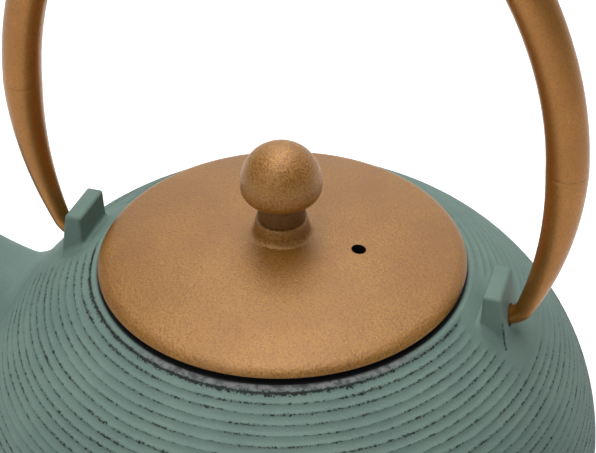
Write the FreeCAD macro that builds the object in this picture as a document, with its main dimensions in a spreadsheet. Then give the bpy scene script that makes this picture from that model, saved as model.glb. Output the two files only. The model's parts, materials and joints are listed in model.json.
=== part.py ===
"""Cast iron teapot with a swinging bail handle, a lift-off lid and a lift-out infuser basket.

Millimetres. The origin is on the pot's axis, on the surface it stands on. +Z is up, the spout points
to -X, and the handle stands in the XZ plane and swings about a line along X through the two lugs.
"""
import FreeCAD, Part
import Sketcher
import os

doc = FreeCAD.newDocument("teapot")
sheet = doc.addObject("Spreadsheet::Sheet", "sizes")

# Driving sizes: name, value in millimetres or degrees, what it measures
SIZES = [
    ("belly_radius", 87.0, "outside radius of the pot at its widest"),
    ("belly_height", 42.0, "height of the widest line"),
    ("belly_core", 27.0, "from the axis to the centre of the belly's curve"),
    ("shoulder_arc", 104.0, "radius of the shoulder's dome"),
    ("foot_radius", 52.0, "outside radius of the foot ring"),
    ("foot_width", 6.0, "width of the foot ring"),
    ("foot_lift", 3.0, "height of the foot ring"),
    ("pot_wall", 4.0, "thickness of the casting"),
    ("land_radius", 49.6, "outside radius of the flat land round the mouth"),
    ("mouth_radius", 42.5, "clear radius of the mouth"),
    ("ledge_depth", 5.0, "thickness of the ledge that carries the basket"),
    ("spout_inset", 12.647, "depth of the spout's root below the belly's surface"),
    ("spout_lift", 21.69, "how far up the belly's curve the spout starts, degrees"),
    ("spout_bend", 75.0, "radius of the spout's centre line"),
    ("spout_root_tilt", 14.0, "upward tilt of the spout at its root, degrees"),
    ("spout_tip_tilt", 58.0, "upward tilt of the spout at its tip, degrees"),
    ("spout_root_radius", 17.8, "outside radius of the spout at its root"),
    ("spout_tip_radius", 9.8, "outside radius of the spout at its tip"),
    ("spout_wall", 3.5, "thickness of the spout's wall"),
    ("spout_blend", 5.0, "fillet between the spout and the belly"),
    ("lug_gap", 4.9, "from the land's edge to the inner face of a lug"),
    ("lug_thickness", 4.2, "thickness of a lug at its top"),
    ("lug_spread", 3.1, "how much thicker a lug is at its root"),
    ("lug_half_width", 6.9, "half of a lug's width"),
    ("lug_rise", 6.1, "height of a lug above the land"),
    ("lug_depth", 12.0, "depth of a lug's root below the land"),
    ("lug_round", 1.2, "rounding of a lug's edges"),
    ("hinge_drop", 3.5, "depth of the hinge line below the land"),
    ("lug_hole_radius", 3.0, "radius of the blind hole in a lug"),
    ("lug_hole_web", 1.5, "metal between a lug's inner face and its hole"),
    ("lid_radius", 48.0, "outside radius of the lid"),
    ("lid_edge", 2.1, "height of the lid's edge"),
    ("lid_edge_round", 0.9, "rounding of the lid's edge"),
    ("lid_dome", 6.0, "rise of the lid's dome"),
    ("lid_wall", 3.0, "thickness of the lid"),
    ("lid_boss_radius", 6.7, "radius of the boss under the knob"),
    ("lid_boss_top", 10.5, "height of the boss above the lid's top edge"),
    ("skirt_gap", 0.6, "from the lid's skirt to the basket's collar"),
    ("skirt_width", 3.0, "thickness of the lid's skirt"),
    ("skirt_depth", 7.0, "depth of the lid's skirt"),
    ("vent_reach", 20.7, "from the lid's axis to the vent hole"),
    ("vent_turn", 0.9, "angle of the vent hole from the rear, degrees"),
    ("vent_radius", 1.9, "radius of the vent hole"),
    ("knob_neck_radius", 6.2, "radius of the knob's neck"),
    ("knob_neck_height", 6.2, "height of the knob's neck"),
    ("knob_radius", 10.4, "radius of the knob's cap"),
    ("knob_under_round", 3.5, "rounding under the cap"),
    ("knob_band", 1.1, "straight band at the cap's widest"),
    ("knob_hole_depth", 12.0, "depth of the screw hole in the knob"),
    ("screw_radius", 2.0, "radius of the knob's screw"),
    ("screw_grip", 9.0, "how far the screw goes into the knob"),
    ("screw_fit", 0.05, "clearance round the screw in the knob"),
    ("screw_play", 0.25, "clearance round the screw in the lid and washer"),
    ("screw_head_radius", 3.8, "radius of the screw's head"),
    ("screw_head_height", 2.4, "height of the screw's head"),
    ("screw_slot_width", 1.0, "width of the slot in the screw's head"),
    ("screw_slot_depth", 1.1, "depth of the slot in the screw's head"),
    ("washer_radius", 5.5, "radius of the washer"),
    ("washer_height", 0.9, "thickness of the washer"),
    ("rim_radius", 46.2, "outside radius of the basket's rim"),
    ("rim_height", 1.2, "thickness of the basket's folded rim"),
    ("collar_play", 0.5, "clearance of the basket's collar in the mouth"),
    ("collar_wall", 0.7, "thickness of the basket's collar"),
    ("collar_depth", 9.0, "depth of the basket's collar below the land"),
    ("mesh_wall", 0.6, "thickness of the basket's mesh"),
    ("mesh_lap", 5.0, "how far the mesh goes up inside the collar"),
    ("basket_depth", 54.0, "depth of the basket below the land"),
    ("band_height", 5.0, "height of the band round the basket's bottom"),
    ("band_wall", 0.7, "thickness of that band"),
    ("band_lip", 4.0, "width of the lip under the basket's base"),
    ("basket_fit", 0.05, "clearance between the basket's nested pieces"),
    ("handle_rise", 119.3, "height of the handle's centre line above the land"),
    ("arch_radius", 64.0, "radius of the handle's top bend"),
    ("arm_radius", 102.0, "radius of the handle's arms"),
    ("grip_radius", 5.0, "radius of the handle's grip"),
    ("grip_wall", 1.3, "wall of the grip's tube"),
    ("grip_end_rise", 41.5, "height above the land where the grip meets its ends"),
    ("spigot_radius", 3.15, "radius of the spigot in the grip"),
    ("spigot_length", 9.0, "length of the spigot in the grip"),
    ("hook_radius", 2.4, "radius of the handle's hooks"),
    ("hook_bend", 5.0, "radius of the hook's bend"),
    ("hook_tuck", 0.97, "how far inside a lug's outer face the hook's bend starts"),
    ("hook_end_gap", 0.5, "from the hook's tip to the end of its hole"),
]

# Worked-out sizes: name, formula, what it measures
FORMULAS = [
    ("belly_arc", "belly_radius - belly_core", "radius of the belly's curve in section"),
    ("shoulder_drop", "sqrt((shoulder_arc - belly_arc)^2 - belly_core^2)",
     "from the widest line down to the shoulder's centre"),
    ("shoulder_centre", "belly_height - shoulder_drop", "height of the shoulder's centre"),
    ("join_radius", "shoulder_arc * belly_core / (shoulder_arc - belly_arc)",
     "radius where the belly meets the shoulder"),
    ("join_height", "shoulder_centre + shoulder_arc * shoulder_drop / (shoulder_arc - belly_arc)",
     "height where the belly meets the shoulder"),
    ("land_height", "shoulder_centre + sqrt(shoulder_arc^2 - land_radius^2)", "height of the land"),
    ("bowl_arc", "((belly_radius - foot_radius)^2 + (belly_height - foot_lift)^2)"
     " / (2 * (belly_radius - foot_radius))", "radius of the curve from the belly to the foot"),
    ("foot_inner", "foot_radius - foot_width", "inside radius of the foot ring"),
    ("floor_height", "belly_height - bowl_arc + pot_wall", "height of the floor inside"),
    ("floor_radius", "belly_radius - bowl_arc", "radius of the flat floor inside"),
    ("inner_belly", "belly_radius - pot_wall", "inside radius at the widest"),
    ("inner_join_radius", "join_radius - pot_wall * belly_core / (shoulder_arc - belly_arc)",
     "inside radius where the belly meets the shoulder"),
    ("inner_join_height", "join_height - pot_wall * shoulder_drop / (shoulder_arc - belly_arc)",
     "inside height where the belly meets the shoulder"),
    ("ledge_under", "land_height - ledge_depth", "height of the ledge's underside"),
    ("ledge_root", "sqrt((shoulder_arc - pot_wall)^2 - (ledge_under - shoulder_centre)^2)",
     "radius where the ledge's underside meets the shoulder"),
    ("cavity_top", "land_height + ledge_depth", "top of the cut for the cavity"),
    ("spout_root_x", "belly_core + (belly_arc - spout_inset) * cos(spout_lift)",
     "from the axis to the spout's root"),
    ("spout_root_z", "belly_height + (belly_arc - spout_inset) * sin(spout_lift)", "height of the spout's root"),
    ("lug_inner", "land_radius + lug_gap", "inner face of a lug"),
    ("lug_top_outer", "lug_inner + lug_thickness", "outer face of a lug at its top"),
    ("lug_root_outer", "lug_top_outer + lug_spread", "outer face of a lug at its root"),
    ("lug_top", "land_height + lug_rise", "height of a lug's top"),
    ("lug_root", "land_height - lug_depth", "height of a lug's root"),
    ("hinge_height", "land_height - hinge_drop", "height of the hinge line"),
    ("lug_hole_end", "lug_inner + lug_hole_web", "inner end of the blind hole in a lug"),
    ("lid_seat", "land_height + rim_height", "height of the lid's seat on the basket's rim"),
    ("lid_rim", "lid_seat + lid_edge", "height of the lid's top edge"),
    ("dome_arc", "(lid_radius^2 + lid_dome^2) / (2 * lid_dome)", "radius of the lid's dome"),
    ("dome_centre", "lid_rim + lid_dome - dome_arc", "height of the dome's centre"),
    ("boss_top", "lid_rim + lid_boss_top", "height of the boss's top"),
    ("boss_foot", "dome_centre + sqrt(dome_arc^2 - lid_boss_radius^2)", "height of the boss's foot"),
    ("collar_radius", "mouth_radius - collar_play", "outside radius of the basket's collar"),
    ("collar_inner", "collar_radius - collar_wall", "inside radius of the basket's collar"),
    ("mesh_radius", "collar_inner - basket_fit", "outside radius of the basket's mesh"),
    ("mesh_inner", "mesh_radius - mesh_wall", "inside radius of the basket's mesh"),
    ("skirt_outer", "mesh_inner - skirt_gap", "outside radius of the lid's skirt"),
    ("skirt_inner", "skirt_outer - skirt_width", "inside radius of the lid's skirt"),
    ("skirt_bottom", "lid_seat - skirt_depth", "height of the skirt's lower edge"),
    ("under_dome", "dome_arc - lid_wall", "radius of the dome's underside"),
    ("skirt_top", "dome_centre + sqrt(under_dome^2 - skirt_inner^2)", "where the skirt meets the dome"),
    ("pad_top", "dome_centre + sqrt(under_dome^2 - washer_radius^2)", "underside of the lid at the washer"),
    ("screw_hole", "screw_radius + screw_play", "radius of the screw's hole in the lid"),
    ("knob_hole", "screw_radius + screw_fit", "radius of the screw's hole in the knob"),
    ("cap_bottom", "boss_top + knob_neck_height", "underside of the cap"),
    ("cap_widest", "cap_bottom + knob_under_round", "height where the cap becomes widest"),
    ("cap_shoulder", "cap_widest + knob_band", "height where the cap's dome starts"),
    ("cap_top", "cap_shoulder + knob_radius", "top of the cap"),
    ("cap_under_edge", "knob_radius - knob_under_round", "radius of the cap's flat underside"),
    ("knob_hole_end", "boss_top + knob_hole_depth", "end of the screw's hole in the knob"),
    ("washer_bottom", "pad_top - washer_height", "underside of the washer"),
    ("screw_head_bottom", "washer_bottom - screw_head_height", "underside of the screw's head"),
    ("screw_slot_top", "screw_head_bottom + screw_slot_depth", "bottom of the slot in the screw's head"),
    ("screw_tip", "boss_top + screw_grip", "top of the screw"),
    ("collar_bottom", "land_height - collar_depth", "lower edge of the basket's collar"),
    ("mesh_top", "collar_bottom + mesh_lap", "upper edge of the basket's mesh"),
    ("basket_bottom", "land_height - basket_depth", "underside of the basket"),
    ("base_top", "basket_bottom + mesh_wall", "top of the basket's base"),
    ("band_inner", "mesh_radius + basket_fit", "inside radius of the bottom band"),
    ("band_radius", "band_inner + band_wall", "outside radius of the bottom band"),
    ("band_top", "basket_bottom + band_height", "top of the bottom band"),
    ("base_radius", "mesh_inner - basket_fit", "radius of the basket's base"),
    ("lip_inner", "base_radius - band_lip", "inside radius of the lip under the base"),
    ("lip_bottom", "basket_bottom - band_wall", "underside of the lip"),
    ("handle_top", "land_height + handle_rise", "height of the handle's centre line at its top"),
    ("arch_centre", "handle_top - arch_radius", "height of the top bend's centre"),
    ("hook_pin_x", "lug_top_outer + lug_spread * (lug_top - hinge_height) / (lug_top - lug_root) - hook_tuck",
     "where the hook's bend meets its pin, along X"),
    ("hook_fall", "arch_centre - hinge_height - hook_bend", "from the top bend's centre down to the hook's"),
    ("hook_far", "sqrt(hook_pin_x^2 + hook_fall^2)", "from the top bend's centre to the hook's"),
    ("arm_shift", "arm_radius - arch_radius", "from the top bend's centre to an arm's"),
    ("arm_bearing", "acos((hook_far^2 + arm_shift^2 - (arm_radius - hook_bend)^2) / (2 * hook_far * arm_shift))"
     " / 1 deg", "angle at the top bend's centre between the hook's centre and the arm's, degrees"),
    ("arch_turn", "arm_bearing + atan(hook_fall / hook_pin_x) / 1 deg - 90",
     "half of the angle that the top bend takes, degrees"),
    ("arch_end_x", "arch_radius * sin(arch_turn)", "where the top bend ends, along X"),
    ("arch_end_z", "arch_centre + arch_radius * cos(arch_turn)", "where the top bend ends, in height"),
    ("arm_centre_x", "-arm_shift * sin(arch_turn)", "centre of an arm's curve, along X"),
    ("arm_centre_z", "arch_centre - arm_shift * cos(arch_turn)", "centre of an arm's curve, in height"),
    ("grip_end_z", "land_height + grip_end_rise", "where the grip meets its ends, in height"),
    ("grip_end_turn", "asin((grip_end_z - arm_centre_z) / arm_radius) / 1 deg",
     "where the grip meets its ends, degrees round the arm's curve"),
    ("grip_end_x", "arm_centre_x + arm_radius * cos(grip_end_turn)", "where the grip meets its ends, along X"),
    ("grip_bore", "grip_radius - grip_wall", "bore of the grip's tube"),
    ("hook_turn", "asin((hinge_height + hook_bend - arm_centre_z) / (arm_radius - hook_bend)) / 1 deg",
     "where the hook's bend starts, degrees round the arm's curve"),
    ("hook_start_x", "arm_centre_x + arm_radius * cos(hook_turn)", "where the hook's bend starts, along X"),
    ("hook_start_z", "arm_centre_z + arm_radius * sin(hook_turn)", "where the hook's bend starts, in height"),
    ("hook_end_x", "lug_hole_end + hook_end_gap", "tip of the hook"),
]

SPOUT_STATIONS = 4
ARM_STATIONS = 5


def station_formulas():
    """Places, tilts and radii of the sections along the spout and along a tapered handle end."""
    rows = []
    for i in range(SPOUT_STATIONS + 1):
        share = f"{i} / {SPOUT_STATIONS - 1}"
        tilt = f"spout_tilt_{i}"
        rows += [
            (tilt, f"spout_root_tilt + (spout_tip_tilt - spout_root_tilt) * {share}", "tilt of a spout section"),
            (f"spout_x_{i}", f"-spout_root_x - spout_bend * (sin({tilt}) - sin(spout_root_tilt))",
             "place of a spout section along X"),
            (f"spout_z_{i}", f"spout_root_z + spout_bend * (cos(spout_root_tilt) - cos({tilt}))",
             "height of a spout section"),
            (f"spout_radius_{i}", "spout_root_radius"
             f" + (spout_tip_radius - spout_root_radius) * {share}", "outside radius of a spout section"),
            (f"spout_bore_{i}", f"spout_radius_{i} - spout_wall", "bore of a spout section"),
        ]
    for i in range(ARM_STATIONS):
        share = f"{i} / {ARM_STATIONS - 1}"
        turn = f"arm_turn_{i}"
        rows += [
            (turn, f"grip_end_turn + (hook_turn - grip_end_turn) * {share}", "place round the arm's curve"),
            (f"arm_x_{i}", f"arm_centre_x + arm_radius * cos({turn})", "place of an arm section along X"),
            (f"arm_z_{i}", f"arm_centre_z + arm_radius * sin({turn})", "height of an arm section"),
            (f"arm_radius_{i}", f"grip_radius + (hook_radius - grip_radius) * ({share})^1.2",
             "radius of an arm section"),
        ]
    return rows


def fill_sheet():
    """Writes the driving sizes as numbers and the worked-out sizes as formulas, each with its name."""
    rows = [(name, str(number), note) for name, number, note in SIZES]
    rows += [(name, "=" + formula, note) for name, formula, note in FORMULAS + station_formulas()]
    for row, (name, content, note) in enumerate(rows, start=1):
        sheet.set(f"A{row}", note)
        sheet.set(f"B{row}", content)
        sheet.setAlias(f"B{row}", name)
    doc.recompute()


def size(expression):
    """The number that a name or a short sum of names from the sheet stands for."""
    return float(sheet.evalExpression(expression))


def bind(target, path, expression):
    """Ties a property of an object to the sheet."""
    words = expression.split(" ")
    tied = [f"sizes.{word}" if word[0].isalpha() else word for word in words]
    target.setExpression(path, " ".join(tied))


def new_body(name):
    body = doc.addObject("PartDesign::Body", name)
    body.Label = name
    return body


def plane_of(body, role):
    return next(feature for feature in body.Origin.OriginFeatures if feature.Role == role)


def new_sketch(body, name, role):
    sketch = body.newObject("Sketcher::SketchObject", name)
    sketch.AttachmentSupport = [(plane_of(body, role), "")]
    sketch.MapMode = "FlatFace"
    return sketch


def new_feature(body, kind, name, profile):
    feature = body.newObject("PartDesign::" + kind, name)
    feature.Profile = profile
    return feature


def shift_sketch(sketch, axis=None, turn=None, **shifts):
    """Moves a sketch off its plane, and turns it about an axis of that plane."""
    if turn:
        sketch.AttachmentOffset = FreeCAD.Placement(FreeCAD.Vector(), FreeCAD.Rotation(axis, 1))
        bind(sketch, "AttachmentOffset.Rotation.Angle", turn)
    for letter, expression in shifts.items():
        bind(sketch, f"AttachmentOffset.Base.{letter}", expression)


def hold_point(sketch, curve, end, across, up):
    """Fixes a point of a sketch by its distances from the sketch's axes."""
    for kind, axis, expression in (("DistanceX", -2, across), ("DistanceY", -1, up)):
        if expression == "0":
            sketch.addConstraint(Sketcher.Constraint("PointOnObject", curve, end, axis))
            continue
        index = sketch.addConstraint(Sketcher.Constraint(kind, -1, 1, curve, end, size(expression)))
        bind(sketch, f"Constraints[{index}]", expression)


def hold_radius(sketch, curve, expression):
    index = sketch.addConstraint(Sketcher.Constraint("Radius", curve, size(expression)))
    bind(sketch, f"Constraints[{index}]", expression)


def add_arc(sketch, first, last, radius, bulge):
    """An arc between two points. bulge is 1 where it passes right of the way to last, and -1 left."""
    if bulge < 0:
        first, last = last, first
    chord = last - first
    right = FreeCAD.Vector(chord.y, -chord.x, 0).normalize()
    depth = (radius ** 2 - (chord.Length / 2) ** 2) ** 0.5
    through = (first + last) * 0.5 + right * (radius - depth)
    return sketch.addGeometry(Part.Arc(first, through, last), False)


def draw_outline(sketch, corners, closed=True):
    """An outline of lines and arcs, with every corner tied to the sheet.

    Each corner is (across, up) or (across, up, radius, bulge), where the last two describe an arc from
    that corner to the next one. An open outline stops at its last corner.
    """
    points = [FreeCAD.Vector(size(corner[0]), size(corner[1]), 0) for corner in corners]
    spans = corners if closed else corners[:-1]
    ends = []
    for i, corner in enumerate(spans):
        first = points[i]
        last = points[(i + 1) % len(points)]
        if len(corner) == 2:
            curve = sketch.addGeometry(Part.LineSegment(first, last), False)
        else:
            curve = add_arc(sketch, first, last, size(corner[2]), corner[3])
        start = sketch.Geometry[curve].StartPoint
        ends.append((curve, 1, 2) if start.isEqual(first, 1e-6) else (curve, 2, 1))
    joins = zip(ends, ends[1:] + ends[:1] if closed else ends[1:])
    for (curve, start, stop), (following, following_start, following_stop) in joins:
        sketch.addConstraint(Sketcher.Constraint("Coincident", curve, stop, following, following_start))
    for (curve, start, stop), corner in zip(ends, spans):
        hold_point(sketch, curve, start, corner[0], corner[1])
        if len(corner) == 4:
            hold_radius(sketch, curve, corner[2])
    if not closed:
        curve, start, stop = ends[-1]
        hold_point(sketch, curve, stop, corners[-1][0], corners[-1][1])


def draw_circle(sketch, across, up, radius):
    centre = FreeCAD.Vector(size(across), size(up), 0)
    circle = Part.Circle(centre, FreeCAD.Vector(0, 0, 1), size(radius))
    curve = sketch.addGeometry(circle, False)
    hold_point(sketch, curve, 3, across, up)
    hold_radius(sketch, curve, radius)


def turned(body, name, corners, kind="Revolution"):
    """A solid, or a cut, turned about the pot's axis from a half section in the XZ plane."""
    sketch = new_sketch(body, name + "_section", "XZ_Plane")
    draw_outline(sketch, corners)
    feature = new_feature(body, kind, name, sketch)
    feature.ReferenceAxis = (sketch, ["V_Axis"])
    feature.Angle = 360
    doc.recompute()
    return feature


def mirrored(body, name, originals, role):
    feature = body.newObject("PartDesign::Mirrored", name)
    feature.Originals = originals
    feature.MirrorPlane = (plane_of(body, role), [""])
    body.Tip = feature
    doc.recompute()
    return feature


def rounded(body, name, radius, wanted):
    """Rounds the edges of the body's newest shape that a test picks out."""
    base = body.Tip
    picked = [f"Edge{i}" for i, edge in enumerate(base.Shape.Edges, start=1) if wanted(edge)]
    feature = body.newObject("PartDesign::Fillet", name)
    feature.Base = (base, picked)
    bind(feature, "Radius", radius)
    doc.recompute()
    return feature


def cut_check(body, before, what):
    """Stops where a cut took nothing away."""
    if body.Shape.Volume > before - 1e-3:
        raise RuntimeError(what + " cut nothing")


def spout_sections(body, name, radius, count):
    """Circles across the spout's curved centre line, from its root outwards."""
    sections = []
    for i in range(count):
        section = new_sketch(body, f"{name}_section_{i}", "YZ_Plane")
        shift_sketch(section, FreeCAD.Vector(1, 0, 0), f"spout_tilt_{i}", y=f"spout_z_{i}", z=f"spout_x_{i}")
        draw_circle(section, "0", "0", f"{radius}_{i}")
        sections.append(section)
    return sections


def loft(body, kind, name, sections):
    feature = new_feature(body, kind, name, sections[0])
    feature.Sections = sections[1:]
    doc.recompute()
    return feature


def add_spout(body):
    """The spout's outside, tapering along an arc, blended into the belly."""
    loft(body, "AdditiveLoft", "spout", spout_sections(body, "spout", "spout_radius", SPOUT_STATIONS))
    tip = size(f"spout_x_{SPOUT_STATIONS - 1}") + size("spout_tip_radius")

    def at_root(edge):
        box = edge.BoundBox
        return box.XMin > tip and box.XMax < 0

    rounded(body, "spout_fillet", "spout_blend", at_root)


def add_lugs(body):
    """Two flat-topped lugs, one each side of the mouth, with rounded top edges."""
    side = new_sketch(body, "lug_side", "XZ_Plane")
    draw_outline(side, [
        ("lug_inner", "lug_root"),
        ("lug_root_outer", "lug_root"),
        ("lug_top_outer", "lug_top"),
        ("lug_inner", "lug_top"),
    ])
    lug = new_feature(body, "Pad", "lug", side)
    lug.SideType = "Symmetric"
    bind(lug, "Length", "2 * lug_half_width")
    doc.recompute()
    mirrored(body, "lug_pair", [lug], "YZ_Plane")
    lowest = size("land_height + lug_round")
    farthest = size("lug_root_outer")

    def on_lug(edge):
        box = edge.BoundBox
        return box.ZMin > lowest and box.XMin > -farthest and box.XMax < farthest

    rounded(body, "lug_edges", "lug_round", on_lug)


def cut_lug_holes(body):
    """A blind hole from outside in each lug, for the handle's hooks."""
    before = body.Shape.Volume
    circle = new_sketch(body, "lug_hole_circle", "YZ_Plane")
    shift_sketch(circle, z="lug_hole_end")
    draw_circle(circle, "0", "hinge_height", "lug_hole_radius")
    hole = new_feature(body, "Pocket", "lug_hole", circle)
    bind(hole, "Length", "lug_root_outer - lug_hole_end")
    hole.Reversed = True
    doc.recompute()
    cut_check(body, before, "lug hole")
    mirrored(body, "lug_holes", [hole], "YZ_Plane")


def make_pot_body():
    """The casting: bowl, shoulder, spout and lugs outside, then the cavity, the bore and the holes."""
    body = new_body("pot_body")
    turned(body, "pot_outside", [
        ("0", "foot_lift"),
        ("foot_inner", "foot_lift"),
        ("foot_inner", "0"),
        ("foot_radius", "0"),
        ("foot_radius", "foot_lift", "bowl_arc", 1),
        ("belly_radius", "belly_height", "belly_arc", 1),
        ("join_radius", "join_height", "shoulder_arc", 1),
        ("land_radius", "land_height"),
        ("0", "land_height"),
    ])
    add_spout(body)
    add_lugs(body)
    before = body.Shape.Volume
    turned(body, "pot_cavity", [
        ("0", "floor_height"),
        ("floor_radius", "floor_height", "bowl_arc - pot_wall", 1),
        ("inner_belly", "belly_height", "belly_arc - pot_wall", 1),
        ("inner_join_radius", "inner_join_height", "shoulder_arc - pot_wall", 1),
        ("ledge_root", "ledge_under"),
        ("mouth_radius", "ledge_under"),
        ("mouth_radius", "cavity_top"),
        ("0", "cavity_top"),
    ], "Groove")
    cut_check(body, before, "pot cavity")
    before = body.Shape.Volume
    bore = spout_sections(body, "bore", "spout_bore", SPOUT_STATIONS + 1)
    loft(body, "SubtractiveLoft", "spout_bore", bore)
    cut_check(body, before, "spout bore")
    cut_lug_holes(body)
    return body


def make_lid():
    """A domed lid with a boss for the knob, a skirt that drops into the basket and a vent hole."""
    body = new_body("lid")
    turned(body, "lid_casting", [
        ("screw_hole", "pad_top"),
        ("washer_radius", "pad_top", "under_dome", -1),
        ("skirt_inner", "skirt_top"),
        ("skirt_inner", "skirt_bottom"),
        ("skirt_outer", "skirt_bottom"),
        ("skirt_outer", "lid_seat"),
        ("lid_radius", "lid_seat"),
        ("lid_radius", "lid_rim", "dome_arc", 1),
        ("lid_boss_radius", "boss_foot"),
        ("lid_boss_radius", "boss_top"),
        ("screw_hole", "boss_top"),
    ])
    reach = size("skirt_outer") + size("lid_radius")
    rounded(body, "lid_edge_rounds", "lid_edge_round", lambda edge: edge.BoundBox.XLength > reach)
    before = body.Shape.Volume
    circle = new_sketch(body, "vent_circle", "XY_Plane")
    shift_sketch(circle, FreeCAD.Vector(0, 0, 1), "-1 * vent_turn")
    draw_circle(circle, "vent_reach", "0", "vent_radius")
    vent = new_feature(body, "Pocket", "vent", circle)
    vent.Type = "ThroughAll"
    vent.Reversed = True
    doc.recompute()
    cut_check(body, before, "vent hole")
    return body


def make_knob():
    """A mushroom knob with a screw hole up its neck."""
    body = new_body("knob")
    turned(body, "knob_turning", [
        ("knob_hole", "boss_top"),
        ("knob_neck_radius", "boss_top"),
        ("knob_neck_radius", "cap_bottom"),
        ("cap_under_edge", "cap_bottom", "knob_under_round", 1),
        ("knob_radius", "cap_widest"),
        ("knob_radius", "cap_shoulder", "knob_radius", 1),
        ("0", "cap_top"),
        ("0", "knob_hole_end"),
        ("knob_hole", "knob_hole_end"),
    ])
    return body


def make_knob_screw():
    """The slotted screw that holds the knob from under the lid."""
    body = new_body("knob_screw")
    turned(body, "screw_turning", [
        ("0", "screw_head_bottom"),
        ("screw_head_radius", "screw_head_bottom"),
        ("screw_head_radius", "washer_bottom"),
        ("screw_radius", "washer_bottom"),
        ("screw_radius", "screw_tip"),
        ("0", "screw_tip"),
    ])
    before = body.Shape.Volume
    profile = new_sketch(body, "slot_profile", "YZ_Plane")
    shift_sketch(profile, x="-0.5 * screw_slot_width")
    draw_outline(profile, [
        ("0", "screw_head_bottom"),
        ("screw_slot_width", "screw_head_bottom"),
        ("screw_slot_width", "screw_slot_top"),
        ("0", "screw_slot_top"),
    ])
    slot = new_feature(body, "Pocket", "screw_slot", profile)
    slot.SideType = "Symmetric"
    slot.Type = "ThroughAll"
    doc.recompute()
    cut_check(body, before, "screw slot")
    return body


def make_ring(name, inner, outer, bottom, top):
    """A plain ring or, where the inner radius is 0, a disc."""
    body = new_body(name)
    turned(body, name + "_ring", [
        (inner, bottom),
        (outer, bottom),
        (outer, top),
        (inner, top),
    ])
    return body


def make_infuser_rim():
    """The basket's collar, with a folded rim that lies on the land and carries the lid."""
    body = new_body("infuser_rim")
    turned(body, "rim_turning", [
        ("collar_inner", "collar_bottom"),
        ("collar_radius", "collar_bottom"),
        ("collar_radius", "land_height"),
        ("rim_radius", "land_height"),
        ("rim_radius", "lid_seat"),
        ("collar_inner", "lid_seat"),
    ])
    return body


def make_infuser_band():
    """The band round the basket's bottom, with a lip that carries the mesh and the base."""
    body = new_body("infuser_band")
    turned(body, "band_turning", [
        ("lip_inner", "lip_bottom"),
        ("band_radius", "lip_bottom"),
        ("band_radius", "band_top"),
        ("band_inner", "band_top"),
        ("band_inner", "basket_bottom"),
        ("lip_inner", "basket_bottom"),
    ])
    return body


def make_handle_grip():
    """The arched tube: half of it along the top bend and an arm's curve, and its mirror image."""
    body = new_body("handle_grip")
    path = new_sketch(body, "grip_path", "XZ_Plane")
    draw_outline(path, [
        ("0", "handle_top", "arch_radius", -1),
        ("arch_end_x", "arch_end_z", "arm_radius", -1),
        ("grip_end_x", "grip_end_z"),
    ], closed=False)
    section = new_sketch(body, "grip_section", "YZ_Plane")
    draw_circle(section, "0", "handle_top", "grip_radius")
    draw_circle(section, "0", "handle_top", "grip_bore")
    half = new_feature(body, "AdditivePipe", "grip_half", section)
    half.Spine = path
    doc.recompute()
    mirrored(body, "grip_halves", [half], "YZ_Plane")
    return body


def arm_section(body, name, station, radius):
    section = new_sketch(body, name, "XY_Plane")
    shift_sketch(section, FreeCAD.Vector(0, 1, 0), f"-1 * arm_turn_{station}",
                 x=f"arm_x_{station}", z=f"arm_z_{station}")
    draw_circle(section, "0", "0", radius)
    return section


def make_handle_end():
    """A tapered handle end: a spigot in the grip, the arm, the hook's bend and its pin in the lug."""
    body = new_body("handle_end_rear")
    sections = [arm_section(body, f"arm_section_{i}", i, f"arm_radius_{i}") for i in range(ARM_STATIONS)]
    loft(body, "AdditiveLoft", "arm", sections)
    spigot_circle = arm_section(body, "spigot_circle", 0, "spigot_radius")
    spigot = new_feature(body, "Pad", "spigot", spigot_circle)
    bind(spigot, "Length", "spigot_length")
    path = new_sketch(body, "hook_path", "XZ_Plane")
    draw_outline(path, [
        ("hook_start_x", "hook_start_z", "hook_bend", -1),
        ("hook_pin_x", "hinge_height"),
    ], closed=False)
    bend = new_feature(body, "AdditivePipe", "hook_bend_sweep", sections[-1])
    bend.Spine = path
    pin_circle = new_sketch(body, "pin_circle", "YZ_Plane")
    shift_sketch(pin_circle, z="hook_end_x")
    draw_circle(pin_circle, "0", "hinge_height", "hook_radius")
    pin = new_feature(body, "Pad", "pin", pin_circle)
    bind(pin, "Length", "hook_pin_x - hook_end_x")
    doc.recompute()
    return body


def make_mirror_image(source, name):
    """The same piece on the spout's side of the pot."""
    image = doc.addObject("Part::Mirroring", name)
    image.Label = name
    image.Source = source
    image.Normal = FreeCAD.Vector(1, 0, 0)
    doc.recompute()
    return image


def check(pieces):
    """Stops where an object failed or a piece is not one sound solid."""
    for item in doc.Objects:
        if {"Invalid", "Error"} & set(item.State):
            raise RuntimeError(item.Label + " failed")
    for piece in pieces:
        shape = piece.Shape
        if shape.isNull() or not shape.isValid() or len(shape.Solids) != 1:
            raise RuntimeError(piece.Label + " is not one sound solid")


def main():
    fill_sheet()
    handle_end = make_handle_end()
    pieces = [
        make_pot_body(),
        make_lid(),
        make_knob(),
        make_knob_screw(),
        make_ring("knob_washer", "screw_hole", "washer_radius", "washer_bottom", "pad_top"),
        make_handle_grip(),
        handle_end,
        make_mirror_image(handle_end, "handle_end_spout"),
        make_infuser_rim(),
        make_ring("infuser_mesh", "mesh_inner", "mesh_radius", "basket_bottom", "mesh_top"),
        make_ring("infuser_base", "0", "base_radius", "basket_bottom", "base_top"),
        make_infuser_band(),
    ]
    doc.recompute()
    check(pieces)
    os.makedirs("parts", exist_ok=True)
    for piece in pieces:
        piece.Shape.exportStep(f"parts/{piece.Label}.step")


main()
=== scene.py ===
import json
import math

import bpy
import numpy as np
from mathutils import Matrix, Vector

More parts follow.
